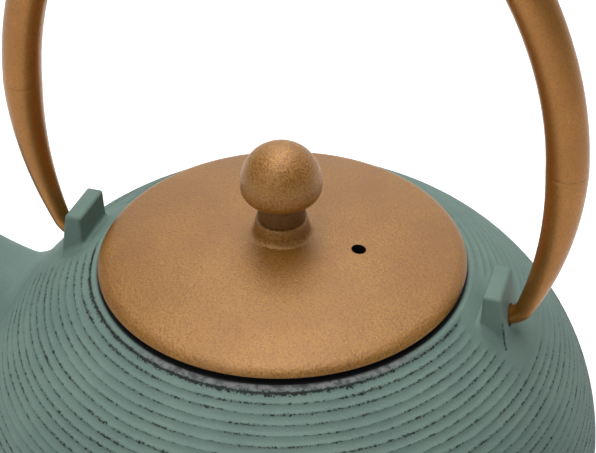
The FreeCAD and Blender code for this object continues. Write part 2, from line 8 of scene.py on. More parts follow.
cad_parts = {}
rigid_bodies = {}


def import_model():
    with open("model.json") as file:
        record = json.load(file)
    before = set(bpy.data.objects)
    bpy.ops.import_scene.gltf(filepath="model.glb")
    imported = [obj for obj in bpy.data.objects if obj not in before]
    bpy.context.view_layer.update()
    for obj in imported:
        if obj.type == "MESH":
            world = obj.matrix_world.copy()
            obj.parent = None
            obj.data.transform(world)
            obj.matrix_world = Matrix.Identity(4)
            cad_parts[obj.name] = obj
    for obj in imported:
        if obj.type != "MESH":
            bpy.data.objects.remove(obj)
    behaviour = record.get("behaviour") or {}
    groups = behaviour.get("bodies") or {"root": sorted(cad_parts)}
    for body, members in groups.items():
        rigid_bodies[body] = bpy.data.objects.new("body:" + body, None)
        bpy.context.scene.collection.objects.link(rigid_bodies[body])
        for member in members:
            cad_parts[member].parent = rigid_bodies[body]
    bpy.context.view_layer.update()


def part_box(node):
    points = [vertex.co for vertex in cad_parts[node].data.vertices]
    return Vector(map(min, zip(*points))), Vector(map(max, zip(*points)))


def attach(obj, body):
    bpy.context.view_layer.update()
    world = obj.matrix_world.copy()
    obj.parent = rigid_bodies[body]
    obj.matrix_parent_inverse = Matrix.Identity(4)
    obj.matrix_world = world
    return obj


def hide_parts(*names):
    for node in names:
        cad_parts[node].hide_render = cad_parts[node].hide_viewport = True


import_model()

# Sizes in millimetres, with the pot's axis on Z and its base at height 0
MM = 0.001
TAU = 2 * math.pi


def node_box(name):
    """The low and high corners of a CAD node in millimetres."""
    low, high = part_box(name)
    return np.array(low) / MM, np.array(high) / MM


LID_LOW, LID_HIGH = node_box("lid")
KNOB_LOW, KNOB_HIGH = node_box("knob")
RIM_LOW, RIM_HIGH = node_box("infuser_rim")
MESH_LOW, MESH_HIGH = node_box("infuser_mesh")
BASE_LOW, BASE_HIGH = node_box("infuser_base")
BAND_LOW, BAND_HIGH = node_box("infuser_band")
PIN_LOW, _ = node_box("handle_end_rear")

RIM_COLLAR = 9.0
LAND_HEIGHT = RIM_LOW[2] + RIM_COLLAR
LAND_INNER = 42.5
LAND_OUTER = 49.6
LEDGE_DEPTH = 5.0
LEDGE_ROOT = 50.332
WALL = 4.0

# The three arcs of the pot's outside, shoulder, belly and bowl: centre's radius, centre's height and arc radius
SHOULDER_CENTRE = LAND_HEIGHT - 91.41
SHOULDER_EDGE = 63.818
BOWL_DROP = 39.0
SHOULDER = (0.0, SHOULDER_CENTRE, 104.0)
BELLY = (27.0, 42.0, 60.0)
BOWL = (47.771, 42.0, 39.229)
TURN_LAND = math.asin(LAND_OUTER / SHOULDER[2])
TURN_JOIN = math.asin(SHOULDER_EDGE / SHOULDER[2])
RUN_SHOULDER = SHOULDER[2] * (TURN_JOIN - TURN_LAND)
RUN_BELLY = RUN_SHOULDER + BELLY[2] * (math.pi / 2 - TURN_JOIN)
RUN_BOWL = RUN_BELLY + BOWL[2] * math.asin(BOWL_DROP / BOWL[2])
ARCS = np.array([SHOULDER, BELLY, BOWL])
ARC_TURNS = np.array([TURN_LAND, TURN_JOIN, math.pi / 2])
ARC_RUNS = np.array([0.0, RUN_SHOULDER, RUN_BELLY])
FOOT_OUTER = 52.0
FOOT_INNER = 46.0
FOOT_RISE = 2.771
FLOOR_HEIGHT = 6.771

# The cast rings, counted down from the land, and how worn they are
RING_FIRST = 0.7
RING_PITCH = 2.52
RING_COUNT = 48
SHOULDER_RINGS = 7
BELLY_RINGS = 29
BAND_COLUMNS = 440
NO_RING = 9.0
RING_DROP = 0.3
RING_STEPS = np.array([0.0, 0.05, 0.15, 0.32, 0.5, 0.68, 0.85, 0.95])
RING_WEAR = np.array([2.4, 1.0, 0.75, 0.6, 0.6, 0.65, 0.75, 0.85, 0.8, 0.75])
RING_SWAY = 0.35
RING_LEAN = 0.3
WORN_MIDDLE = math.radians(-75)
WORN_TURN = math.radians(85)

# Where the paint at the back right is kept, round the axis and down the outside, and where the first crest is worn
# through: each pair is where its effect starts and is whole
KEPT_FROM = (-0.1, 0.25)
KEPT_TO = (1.75, 1.3)
KEPT_DOWN = (34.0, 26.0)
KEPT_SHARE = 0.75
SOLID_TURN = (-0.5, -0.9)

# The spout's bend is an arc about its centre, and its tilt is measured from straight down
SPOUT_BEND = 75.0
SPOUT_ROOT = (-71.0, 59.5)
SPOUT_TILT = (math.radians(14), math.radians(58))
SPOUT_RADII = (17.8, 9.8)
SPOUT_WALL = 3.5
SPOUT_LIP = 1.3
SPOUT_OPENING = 15.4
SPOUT_COLUMNS = 112
SPOUT_CENTRE = (
    SPOUT_ROOT[0] + SPOUT_BEND * math.sin(SPOUT_TILT[0]),
    SPOUT_ROOT[1] + SPOUT_BEND * math.cos(SPOUT_TILT[0]),
)

LUG_INNER = 54.25
LUG_OUTER = 58.9
LUG_LEAN = 3.1
LUG_FALL = 18.1
LUG_FLARE = 0.04
LUG_TOP = LAND_HEIGHT + 6.1
LUG_HALF = 7.2
LUG_ROUND = 0.9
LUG_PEAK = 56.6
LUG_ROOT = (57.0, 84.0)
LUG_CLEAR = (58.0, 4.5, 7.0)
LUG_LOWEST = 70.0
SCRAPE_LOW = (89.5, 91.5)
SCRAPE_HIGH = (99.0, 96.0)
HINGE_HEIGHT = LAND_HEIGHT - 3.5
HINGE_HOLE = (56.0, 75.0)
HINGE_RADIUS = 3.0

RANDOM = np.random.default_rng(7)
RING_FINE = RANDOM.random((RING_COUNT + 4, 300))
RING_COARSE = RANDOM.random((RING_COUNT + 4, 36))
RING_WANDER = RANDOM.random((RING_COUNT + 4, 24))


# Mesh helpers
def smoothstep(low, high, value):
    """The cubic ramp from 0 at low to 1 at high."""
    share = np.clip((value - low) / (high - low), 0, 1)
    return share * share * (3 - 2 * share)


def unit(vectors):
    """Vectors scaled to length one along the last axis."""
    return vectors / np.linalg.norm(vectors, axis=-1, keepdims=True)


def bezier(start, first, second, end, share):
    """Points of the cubic curve with these four controls, at each share."""
    share = share[:, None, None]
    rest = 1 - share
    return rest**3 * start + 3 * rest**2 * share * first + 3 * rest * share**2 * second + share**3 * end


def parabola(start, knee, end, share):
    """Points of the parabola from start to end that heads for the knee, at each share."""
    return (1 - share) ** 2 * start + 2 * share * (1 - share) * knee + share**2 * end


def halving(low, high, inside):
    """For each column the value between low and high at which it stops being inside, by halving."""
    for _ in range(40):
        half = (low + high) / 2
        within = inside(half)
        low, high = np.where(within, half, low), np.where(within, high, half)
    return (low + high) / 2


def soft_profile(corners, steps=5):
    """A closed or open profile through corners (radius, height, round): each round corner is a parabola that
    starts and ends that far along its two sides, and each sharp one (round 0) is a single point."""
    corners = np.array(corners, dtype=float)
    points = corners[:, :2]
    before = np.roll(points, 1, axis=0) - points
    after = np.roll(points, -1, axis=0) - points
    share = np.linspace(0, 1, steps)[:, None]
    rows = []
    for corner, back, ahead, size in zip(points, before, after, corners[:, 2]):
        if size == 0:
            rows.append(corner[None, :])
            continue
        start = corner + back * (size / np.linalg.norm(back))
        end = corner + ahead * (size / np.linalg.norm(ahead))
        rows.append(parabola(start, corner, end, share))
    return np.concatenate(rows)


def turned(profile, columns):
    """The surface of a profile (radius, height) turned about the pot's axis, rows along the profile and columns
    round the axis: (radius cos, radius sin, height)."""
    turns = np.arange(columns) * TAU / columns
    radius = profile[:, :1]
    height = np.broadcast_to(profile[:, 1:2], (len(profile), columns))
    return np.stack([radius * np.cos(turns), radius * np.sin(turns), height], axis=-1)


def grid_quads(rows, columns, wrap_rows):
    """Four corners of every cell of a grid whose columns close round, and whose rows close too where wrapped."""
    row = np.arange(rows if wrap_rows else rows - 1)[:, None]
    column = np.arange(columns)[None, :]
    next_row = (row + 1) % rows
    next_column = (column + 1) % columns
    corners = [row * columns + column, row * columns + next_column]
    corners += [next_row * columns + next_column, next_row * columns + column]
    return np.stack(np.broadcast_arrays(*corners), axis=-1).reshape(-1, 4)


def solid_arrays(points, wrap_rows=False, first_pole=None, last_pole=None):
    """Vertices, quads and triangles of a grid of points, closed by a fan to a pole before its first row and
    after its last row where one is given."""
    rows, columns = points.shape[:2]
    vertices = [points.reshape(-1, 3)]
    quads = grid_quads(rows, columns, wrap_rows)
    column = np.arange(columns)
    ahead = (column + 1) % columns
    fans = []
    count = rows * columns
    if first_pole is not None:
        vertices.append(np.array(first_pole, dtype=float)[None, :])
        fans.append(np.stack([np.full(columns, count), ahead, column], axis=-1))
        count += 1
    if last_pole is not None:
        vertices.append(np.array(last_pole, dtype=float)[None, :])
        last = (rows - 1) * columns
        fans.append(np.stack([last + column, last + ahead, np.full(columns, count)], axis=-1))
    fans = np.concatenate(fans) if fans else np.zeros((0, 3), dtype=int)
    return np.concatenate(vertices), quads, fans


def signed_volume(vertices, quads, fans):
    """Six times the volume inside the faces, below zero where they face inward."""
    halves = np.concatenate([quads[:, [0, 1, 2]], quads[:, [0, 2, 3]], fans])
    first, second, third = vertices[halves[:, 0]], vertices[halves[:, 1]], vertices[halves[:, 2]]
    return np.sum(first * np.cross(second, third))


def mesh_from(name, vertices, quads, fans, sharp, values=None):
    """A smooth mesh in metres from arrays in millimetres, turned to face outward, with edges sharper than the
    given angle kept crisp and one float attribute per named array of values."""
    if signed_volume(vertices, quads, fans) < 0:
        quads, fans = quads[:, ::-1], fans[:, ::-1]
    used, index = np.unique(np.concatenate([quads.ravel(), fans.ravel()]), return_inverse=True)
    quads, fans = index[: quads.size].reshape(-1, 4), index[quads.size :].reshape(-1, 3)
    mesh = bpy.data.meshes.new(name)
    mesh.vertices.add(len(used))
    mesh.vertices.foreach_set("co", (vertices[used] * MM).astype(np.float32).ravel())
    mesh.loops.add(quads.size + fans.size)
    mesh.loops.foreach_set("vertex_index", np.concatenate([quads.ravel(), fans.ravel()]).astype(np.int32))
    starts = np.concatenate([np.arange(len(quads)) * 4, quads.size + np.arange(len(fans)) * 3])
    mesh.polygons.add(len(starts))
    mesh.polygons.foreach_set("loop_start", starts.astype(np.int32))
    mesh.update(calc_edges=True)
    mesh.validate()
    mesh.polygons.foreach_set("use_smooth", np.ones(len(mesh.polygons), dtype=bool))
    mesh.set_sharp_from_angle(angle=math.radians(sharp))
    for key, value in (values or {}).items():
        attribute = mesh.attributes.new(key, "FLOAT", "POINT")
        attribute.data.foreach_set("value", value.ravel()[used].astype(np.float32))
    return mesh


def place(mesh, body, slot_name, material, *nodes):
    """An object of the mesh that rides on a body, takes the given material and hides the named nodes it stands for.
    The slot's name is not used.
    """
    piece = bpy.data.objects.new(mesh.name, mesh)
    bpy.context.scene.collection.objects.link(piece)
    mesh.materials.clear()
    mesh.materials.append(material)
    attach(piece, body)
    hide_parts(*nodes)
    return piece


def rod_arrays(centres, sides, uprights, radii, columns):
    """A round rod along centres: circles of the given radii in the plane of the side and upright directions,
    closed by a fan at both ends."""
    turns = np.arange(columns) * TAU / columns
    ring = sides[:, None, :] * np.cos(turns)[None, :, None] + uprights[:, None, :] * np.sin(turns)[None, :, None]
    points = centres[:, None, :] + radii[:, None, None] * ring
    return solid_arrays(points, first_pole=centres[0], last_pole=centres[-1])


def drilled(mesh, start, end, radius, sharp):
    """The mesh with a round hole cut from start to end."""
    ends = np.array([start, end], dtype=float)
    along = unit(ends[1] - ends[0])
    side = unit(np.cross(along, [0.3, 0.5, 0.81]))
    upright = np.cross(along, side)
    spread = np.stack([side, side]), np.stack([upright, upright])
    rod = mesh_from("cutter", *rod_arrays(ends, *spread, np.full(2, radius), 40), sharp)
    cutter = bpy.data.objects.new("cutter", rod)
    work = bpy.data.objects.new("work", mesh)
    for item in (cutter, work):
        bpy.context.scene.collection.objects.link(item)
    cut = work.modifiers.new("hole", "BOOLEAN")
    cut.operation = "DIFFERENCE"
    cut.solver = "EXACT"
    cut.object = cutter
    graph = bpy.context.evaluated_depsgraph_get()
    result = bpy.data.meshes.new_from_object(work.evaluated_get(graph))
    result.name = mesh.name + "_drilled"
    bpy.data.objects.remove(work)
    bpy.data.objects.remove(cutter)
    result.polygons.foreach_set("use_smooth", np.ones(len(result.polygons), dtype=bool))
    result.set_sharp_from_angle(angle=math.radians(sharp))
    return result


# Materials
def linear(red, green, blue):
    """A linear colour from display values of 0 to 255."""
    share = np.array([red, green, blue]) / 255
    curve = np.where(share <= 0.04045, share / 12.92, ((share + 0.055) / 1.055) ** 2.4)
    return (*curve.tolist(), 1.0)


NOISE_TURN = (0.5, 0.8, 0.3)
# Black of the enamelled insides, also used as painted shadow on the land and the lid's undercut along the gap under
# the lid's edge
BLACK = linear(16, 16, 16)


class Shader:
    """A material with one principled shader, and short calls for the nodes that feed it."""

    def __init__(self, name, roughness, metallic=0.0, specular=0.5):
        self.material = bpy.data.materials.new(name)
        self.material.use_nodes = True
        self.tree = self.material.node_tree
        self.surface = self.tree.nodes["Principled BSDF"]
        self.surface.inputs["Roughness"].default_value = roughness
        self.surface.inputs["Metallic"].default_value = metallic
        self.surface.inputs["Specular IOR Level"].default_value = specular
        turned_axes = self.tree.nodes.new("ShaderNodeMapping")
        turned_axes.inputs["Rotation"].default_value = NOISE_TURN
        self.join(self.tree.nodes.new("ShaderNodeTexCoord").outputs["Object"], turned_axes.inputs["Vector"])
        self.coordinates = turned_axes.outputs["Vector"]

    def join(self, source, target):
        """Links a socket to the target, or sets the target's own value."""
        if isinstance(source, bpy.types.NodeSocket):
            self.tree.links.new(source, target)
        else:
            target.default_value = source

    def noise(self, scale, detail=3.0, roughness=0.55, stretch=None):
        """Noise over the object's own coordinates, turned off the axes."""
        node = self.tree.nodes.new("ShaderNodeTexNoise")
        node.inputs["Scale"].default_value = scale
        node.inputs["Detail"].default_value = detail
        node.inputs["Roughness"].default_value = roughness
        vector = self.coordinates
        if stretch is not None:
            mapping = self.tree.nodes.new("ShaderNodeMapping")
            mapping.inputs["Scale"].default_value = stretch
            self.join(vector, mapping.inputs["Vector"])
            vector = mapping.outputs["Vector"]
        self.join(vector, node.inputs["Vector"])
        return node.outputs["Fac"]

    def attribute(self, name):
        """A float that the mesh carries at its points, 0 where it has none."""
        node = self.tree.nodes.new("ShaderNodeAttribute")
        node.attribute_name = name
        return node.outputs["Fac"]

    def ramp(self, value, low, high, to_low=0.0, to_high=1.0):
        """The value eased from to_low at low to to_high at high."""
        node = self.tree.nodes.new("ShaderNodeMapRange")
        node.interpolation_type = "SMOOTHSTEP"
        for key, number in (("From Min", low), ("From Max", high), ("To Min", to_low), ("To Max", to_high)):
            node.inputs[key].default_value = number
        self.join(value, node.inputs["Value"])
        return node.outputs["Result"]

    def math(self, operation, first, second):
        """One operation on two values."""
        node = self.tree.nodes.new("ShaderNodeMath")
        node.operation = operation
        self.join(first, node.inputs[0])
        self.join(second, node.inputs[1])
        return node.outputs["Value"]

    def mix(self, share, first, second):
        """The first colour at share 0, and the second at share 1."""
        node = self.tree.nodes.new("ShaderNodeMix")
        node.data_type = "RGBA"
        self.join(share, node.inputs[0])
        self.join(first, node.inputs[6])
        self.join(second, node.inputs[7])
        return node.outputs[2]

    def bump(self, height, distance, strength=1.0):
        """Fine relief from a height."""
        node = self.tree.nodes.new("ShaderNodeBump")
        node.inputs["Distance"].default_value = distance
        node.inputs["Strength"].default_value = strength
        self.join(height, node.inputs["Height"])
        self.join(node.outputs["Normal"], self.surface.inputs["Normal"])

    def colour(self, value):
        self.join(value, self.surface.inputs["Base Color"])

    def roughness(self, value):
        self.join(value, self.surface.inputs["Roughness"])


def sage_iron():
    """Matte sage paint on cast iron: a mottled grey green worn off in ragged dark marks along the crests of its
    rings, each mark with a softer band of painted shade beside it, worn to grey on the land, and enamelled black
    inside, a black that on the land just past the lid's edge is painted shadow. A crest is dark where its wear, which
    two noises fray and break up, is wider than the distance from its middle. Wear above 1 is a width that no noise
    breaks up."""
    shade = Shader("sage_iron", roughness=0.66, specular=0.3)
    cloud = shade.ramp(shade.noise(55, 3), 0.3, 0.7)
    grain = shade.noise(1500, 3, 0.65)
    paint = shade.mix(cloud, linear(104, 127, 119), linear(113, 136, 127))
    paint = shade.mix(shade.ramp(grain, 0.55, 0.75, 0.0, 0.35), paint, linear(140, 158, 150))
    gap, wear_and_shade = shade.attribute("gap"), shade.attribute("wear_and_shade")
    # Painted shade: a softer darker band within 0.7 mm of each dark mark, as strong as its wear there
    paint = shade.mix(shade.math("MULTIPLY", shade.ramp(gap, 0.1, 0.7, 0.6, 0.0), wear_and_shade), paint, linear(70, 88, 81))
    fray = shade.math("ADD", shade.noise(2600, 2, 0.6), shade.noise(950, 2, 0.6))
    width = shade.math("MULTIPLY", shade.math("MINIMUM", wear_and_shade, 1.0), shade.ramp(fray, 0.75, 1.3, -0.2, 0.75))
    width = shade.math("ADD", width, shade.ramp(wear_and_shade, 1.0, 2.0, 0.0, 0.5))
    line = shade.ramp(shade.math("SUBTRACT", width, gap), -0.02, 0.16)
    worn = shade.ramp(shade.noise(520, 4, 0.7), 0.36, 0.6)
    paint = shade.mix(shade.attribute("wear"), paint, shade.mix(worn, linear(72, 74, 73), linear(124, 126, 125)))
    paint = shade.mix(line, paint, linear(30, 36, 33))
    # Enamelled black inside; the same black on the land just past the lid's edge is painted shadow
    shade.colour(shade.mix(shade.attribute("enamel_and_painted_shadow"), paint, BLACK))
    shade.bump(shade.math("ADD", grain, shade.noise(420, 2)), 0.00012, 0.8)
    return shade.material


def copper_iron():
    """Copper-gold satin finish on cast iron: dark grain over soft patches, painted light that makes the knob's cap
    and the lid's boss paler, painted shade that darkens the knob's neck under its cap, and enamelled black beneath,
    which along the lid's undercut edge is also painted shadow."""
    shade = Shader("copper_iron", metallic=0.35, roughness=0.42, specular=0.9)
    cloud = shade.ramp(shade.noise(70, 3), 0.3, 0.7)
    grain = shade.noise(2000, 3, 0.65)
    finish = shade.mix(cloud, linear(149, 99, 23), linear(161, 111, 33))
    # Painted light: paler on the knob's cap and the lid's boss
    finish = shade.mix(shade.attribute("rubbed_and_painted_light"), finish, linear(188, 133, 54))
    finish = shade.mix(shade.ramp(grain, 0.32, 0.62), linear(122, 77, 13), finish)
    # Painted shade: darker on the knob's neck, under its cap
    finish = shade.mix(shade.attribute("painted_neck_shade"), finish, linear(52, 34, 12))
    # Enamelled black beneath; along the undercut just below the lid's edge this black is also painted shadow
    shade.colour(shade.mix(shade.attribute("enamel_and_painted_shadow"), finish, BLACK))
    shade.roughness(shade.ramp(grain, 0.3, 0.7, 0.36, 0.48))
    shade.bump(shade.math("ADD", grain, shade.noise(1050, 2, 0.5)), 0.00013, 1.0)
    return shade.material


def bronze_handle():
    """Smooth satin bronze lacquer with faint cloudiness and a fine dark grain."""
    shade = Shader("bronze_handle", metallic=0.6, roughness=0.32, specular=1.0)
    cloud = shade.ramp(shade.noise(90, 3), 0.3, 0.7)
    finish = shade.mix(cloud, linear(150, 97, 28), linear(162, 108, 38))
    grain = shade.ramp(shade.noise(2400, 3, 0.65), 0.32, 0.62)
    shade.colour(shade.mix(grain, linear(138, 87, 22), finish))
    shade.roughness(shade.ramp(shade.noise(900, 3), 0.3, 0.7, 0.3, 0.4))
    shade.bump(shade.noise(500, 2), 0.00004, 0.5)
    return shade.material


def steel():
    """Bare stainless steel with a faint drawn grain."""
    shade = Shader("steel", metallic=1.0, roughness=0.32)
    grain = shade.noise(900, 2, 0.5, (1.0, 1.0, 0.12))
    shade.colour(shade.mix(grain, linear(176, 178, 178), linear(205, 206, 205)))
    shade.roughness(shade.ramp(grain, 0.3, 0.7, 0.26, 0.4))
    return shade.material


def painted_vent_shade():
    """Near-black painted shade for the vent's wall, with a fine orange-peel ripple."""
    shade = Shader("painted_vent_shade", roughness=0.5, specular=0.3)
    ripple = shade.noise(700, 2)
    shade.colour(shade.mix(ripple, linear(10, 9, 8), linear(22, 20, 18)))
    shade.bump(ripple, 0.00003, 0.5)
    return shade.material


SAGE = sage_iron()
COPPER = copper_iron()
BRONZE = bronze_handle()
STEEL = steel()
# Near-black painted shade for the inside of the vent hole
PAINTED_VENT_SHADE = painted_vent_shade()


# The pot's bands
def pot_outside(run):
    """Radius, height, and the outward normal's radial and upward parts, at a distance run down the pot's outside
    from the land's edge: three arcs in turn, shoulder, belly and bowl, each tangent to the next."""
    which = np.where(run < RUN_SHOULDER, 0, np.where(run < RUN_BELLY, 1, 2))
    core, centre, arc = np.moveaxis(ARCS[which], -1, 0)
    turn = ARC_TURNS[which] + (run - ARC_RUNS[which]) / arc
    return core + arc * np.sin(turn), centre + arc * np.cos(turn), np.sin(turn), np.cos(turn)


def ring_value(table, ring, turns):
    """Smooth random values round a ring: the table's row for that ring, eased between its steps."""
    steps = table.shape[1]
    spot = (turns / TAU % 1.0) * steps
    low = np.floor(spot).astype(int) % steps
    ease = smoothstep(0, 1, spot - np.floor(spot))
    row = np.clip(ring + 1, 0, len(table) - 1)
    return table[row, low] * (1 - ease) + table[row, (low + 1) % steps] * ease


def plain_share(radius, height, turns):
    """1 where the rings show in full, falling to 0 close to the lugs and over the spout's root."""
    x, y = radius * np.cos(turns), radius * np.sin(turns)
    middle, thick, wide = LUG_CLEAR
    gap = np.hypot(np.maximum(np.abs(np.abs(x) - middle) - thick, 0), np.maximum(np.abs(y) - wide, 0))
    near_lug = np.where(height > LUG_LOWEST, smoothstep(3.0, 7.5, gap), 1.0)
    reach = np.hypot(np.hypot(x - SPOUT_CENTRE[0], height - SPOUT_CENTRE[1]) - SPOUT_BEND, y) - SPOUT_RADII[0]
    near_spout = np.where(x < -30, smoothstep(5.0, 13.0, reach), 1.0)
    return near_lug * near_spout


def ringed(run, turns):
    """Points on the pot's outside with its cast rings, how far each one is from the nearest crest, and how worn that
    crest is there, which also sets how dark the painted shade beside it is. Between two crests the surface is a
    shallow groove, as deep as the sine of its share of the way across. The crests wander a little up and down. The
    first crest is worn all along its front and left, and the upper ones keep most of their paint at the back right."""
    run, turns = np.broadcast_arrays(run, turns)
    spot = (run - RING_FIRST) / RING_PITCH
    ring = np.floor(spot + 1e-9).astype(int)
    share = spot - ring
    nearest = ring + (share > 0.5)
    wander = ring_value(RING_WANDER, ring, turns) * (1 - share) + ring_value(RING_WANDER, ring + 1, turns) * share
    radius, height, _, _ = pot_outside(run)
    ends = smoothstep(RING_PITCH * RING_COUNT, RING_PITCH * (RING_COUNT - 2), run) * smoothstep(-0.2, 0.6, run)
    plain = plain_share(radius, height, turns) * ends
    fine = ring_value(RING_FINE, nearest, turns)
    coarse = ring_value(RING_COARSE, nearest, turns)
    worn = RING_WEAR[np.clip(nearest, 0, len(RING_WEAR) - 1)]
    wear_and_shade = worn * np.clip(0.25 + 1.1 * coarse, 0, 1) * np.clip(0.4 + 1.0 * fine, 0, 1)
    around = (turns + math.pi) % TAU - math.pi
    kept = smoothstep(*KEPT_FROM, around) * smoothstep(*KEPT_TO, around) * smoothstep(*KEPT_DOWN, run)
    solid = np.where(nearest == 0, smoothstep(*SOLID_TURN, around), 0.0)
    wear_and_shade = plain * (np.clip(wear_and_shade, 0, 1) * (1 - solid) + (1.5 + 0.3 * fine) * solid) * (1 - KEPT_SHARE * kept)
    depth = plain * RING_DROP * np.sin(math.pi * share)
    shift = RING_SWAY * (wander - 0.5) + RING_LEAN * np.cos(turns + 1.1)
    radius, height, out, lift = pot_outside(run + plain * shift)
    radius, height = radius - depth * out, height - depth * lift
    points = np.stack([radius * np.cos(turns), radius * np.sin(turns), height], axis=-1)
    gap = RING_PITCH * np.minimum(share, 1 - share)
    return points, gap, wear_and_shade


def ring_runs(first, last):
    """Distances down the outside of the rows from one crest to another, close together near each crest."""
    rows = (np.arange(first, last)[:, None] + RING_STEPS).ravel()
    return RING_FIRST + RING_PITCH * np.append(rows, last)


def pot_inside(runs):
    """The inside wall's profile (radius, height): the outside's points moved in by the wall."""
    radius, height, out, lift = pot_outside(runs)
    return np.stack([radius - WALL * out, height - WALL * lift], axis=-1)


def pot_band(blocks):
    """Rows of a band of the pot from blocks in turn, each either a profile to turn inside the pot or distances for
    ringed rows outside it, with the values that its paint takes."""
    rows, gaps, wear_and_shades, enamel_and_painted_shadow = [], [], [], []
    turns = np.arange(BAND_COLUMNS) * TAU / BAND_COLUMNS
    for kind, block in blocks:
        if kind == "rings":
            points, gap, wear_and_shade = ringed(block[:, None], turns[None, :])
        else:
            points = turned(block, BAND_COLUMNS)
            gap, wear_and_shade = np.full(points.shape[:2], NO_RING), np.zeros(points.shape[:2])
        rows.append(points)
        gaps.append(gap)
        wear_and_shades.append(wear_and_shade)
        enamel_and_painted_shadow.append(np.full(points.shape[:2], float(kind == "inside")))
    values = {"gap": np.concatenate(gaps), "wear_and_shade": np.concatenate(wear_and_shades), "enamel_and_painted_shadow": np.concatenate(enamel_and_painted_shadow)}
    return np.concatenate(rows), values


def pot_shoulder():
    """The pot's top: mouth wall, worn land, the first rings, and the wall and ledge beneath them. The land is black
    at the mouth, enamelled under the lid and painted shadow just past its edge, worn grey round its front, and takes
    on the first crest's dark line."""
    runs = np.concatenate([[0.2, 0.45], ring_runs(0, SHOULDER_RINGS)])
    inner = pot_inside(np.linspace(runs[-1], 5.0, 8))
    under = LAND_HEIGHT - LEDGE_DEPTH
    ledge = [(LEDGE_ROOT, under, 0), (LAND_INNER, under, 0.4), (LAND_INNER, LAND_HEIGHT, 0.6)]
    ledge = soft_profile([(52.0, under - 3.0, 0)] + ledge + [(46.0, LAND_HEIGHT, 0)])[1:]
    land = np.stack([np.linspace(46.6, LAND_OUTER, 9), np.full(9, LAND_HEIGHT)], axis=-1)
    points, values = pot_band([("inside", np.concatenate([inner, ledge])), ("land", land), ("rings", runs)])
    radius = np.hypot(points[..., 0], points[..., 1])
    flat = np.abs(points[..., 2] - LAND_HEIGHT) < 0.35
    turns = np.arctan2(points[..., 1], points[..., 0])
    ragged = 0.5 * ring_value(RING_COARSE, np.zeros(turns.shape, dtype=int), turns)
    rubbed_and_painted_light = smoothstep(WORN_TURN, 0.35 * WORN_TURN, np.abs(turns - WORN_MIDDLE) + ragged)
    # Black out to just past the lid's edge: enamelled under the lid, and painted shadow of the gap beyond it
    values["enamel_and_painted_shadow"] = np.where(flat, smoothstep(48.7, 48.1, radius), values["enamel_and_painted_shadow"])
    values["wear"] = np.where(flat, smoothstep(50.4, 49.8, radius) * rubbed_and_painted_light, 0.0)
    on_land = flat & (radius < LAND_OUTER)
    values["gap"] = np.where(on_land, LAND_OUTER + RING_FIRST - radius, values["gap"])
    first = np.flatnonzero(np.all(~on_land, axis=1) & np.any(values["wear_and_shade"] > 0, axis=1))[3]
    values["wear_and_shade"] = np.where(on_land, values["wear_and_shade"][first], values["wear_and_shade"])
    return mesh_from("pot_shoulder", *solid_arrays(points, wrap_rows=True), sharp=60, values=values)


def pot_belly():
    """The pot's widest part, ringed outside and smooth inside, open where the spout's bore goes through."""
    runs = ring_runs(SHOULDER_RINGS, BELLY_RINGS)
    points, values = pot_band([("rings", runs), ("inside", pot_inside(np.linspace(runs[-1], runs[0], 34)))])
    vertices, quads, fans = solid_arrays(points, wrap_rows=True)
    middle = vertices[quads].mean(axis=1)
    across = np.hypot(middle[:, 0] - SPOUT_CENTRE[0], middle[:, 2] - SPOUT_CENTRE[1]) - SPOUT_BEND
    quads = quads[(middle[:, 0] > 0) | (np.hypot(across, middle[:, 1]) > SPOUT_OPENING)]
    return mesh_from("pot_belly", vertices, quads, fans, sharp=60, values=values)


def pot_bowl():
    """The pot's lower part down to its foot ring, with the hollow underside and the floor inside."""
    lowest = RING_FIRST + RING_PITCH * BELLY_RINGS
    inner = pot_inside(np.linspace(lowest, RUN_BOWL - 6.0, 22))
    ground = np.stack([np.linspace(4.0, inner[-1, 0] - 2.0, 6), np.full(6, FLOOR_HEIGHT)], axis=-1)
    foot = [(FOOT_OUTER, 3.0, 0), (FOOT_OUTER, 0.0, 0.6), (FOOT_INNER, 0.0, 0.6), (FOOT_INNER, FOOT_RISE, 0.8)]
    foot = soft_profile([(53.0, 5.0, 0)] + foot + [(4.0, FOOT_RISE, 0)])[2:]
    smooth = np.linspace(RING_PITCH * RING_COUNT + 2.5, RUN_BOWL, 5)
    runs = np.concatenate([ring_runs(BELLY_RINGS, RING_COUNT), smooth])
    points, values = pot_band([("inside", np.concatenate([ground, inner[::-1]])), ("rings", runs), ("foot", foot)])
    values = {key: np.append(value.ravel(), [value[0, 0], value[-1, 0]]) for key, value in values.items()}
    closed = solid_arrays(points, first_pole=(0, 0, FLOOR_HEIGHT), last_pole=(0, 0, FOOT_RISE))
    return mesh_from("pot_bowl", *closed, sharp=60, values=values)


def outside_gap(points):
    """The signed distance of points from the pot's outside, and the outward normal there, from the same arcs."""
    radius = np.hypot(points[..., 0], points[..., 1])
    height = points[..., 2]
    from_shoulder = np.arctan2(radius, height - SHOULDER_CENTRE) < TURN_JOIN
    which = np.where(height < BELLY[1], 2, np.where(from_shoulder, 0, 1))
    core, centre, arc = np.moveaxis(ARCS[which], -1, 0)
    across, up = radius - core, height - centre
    reach = np.hypot(across, up)
    spread = across / reach / np.maximum(radius, 1e-6)
    normal = np.stack([points[..., 0] * spread, points[..., 1] * spread, up / reach], axis=-1)
    return reach - arc, normal


def onto_outside(points, level):
    """Points moved along the pot's normals until they lie at a level off its outside."""
    gap, normal = outside_gap(points)
    return points - normal * (gap - level)[..., None]


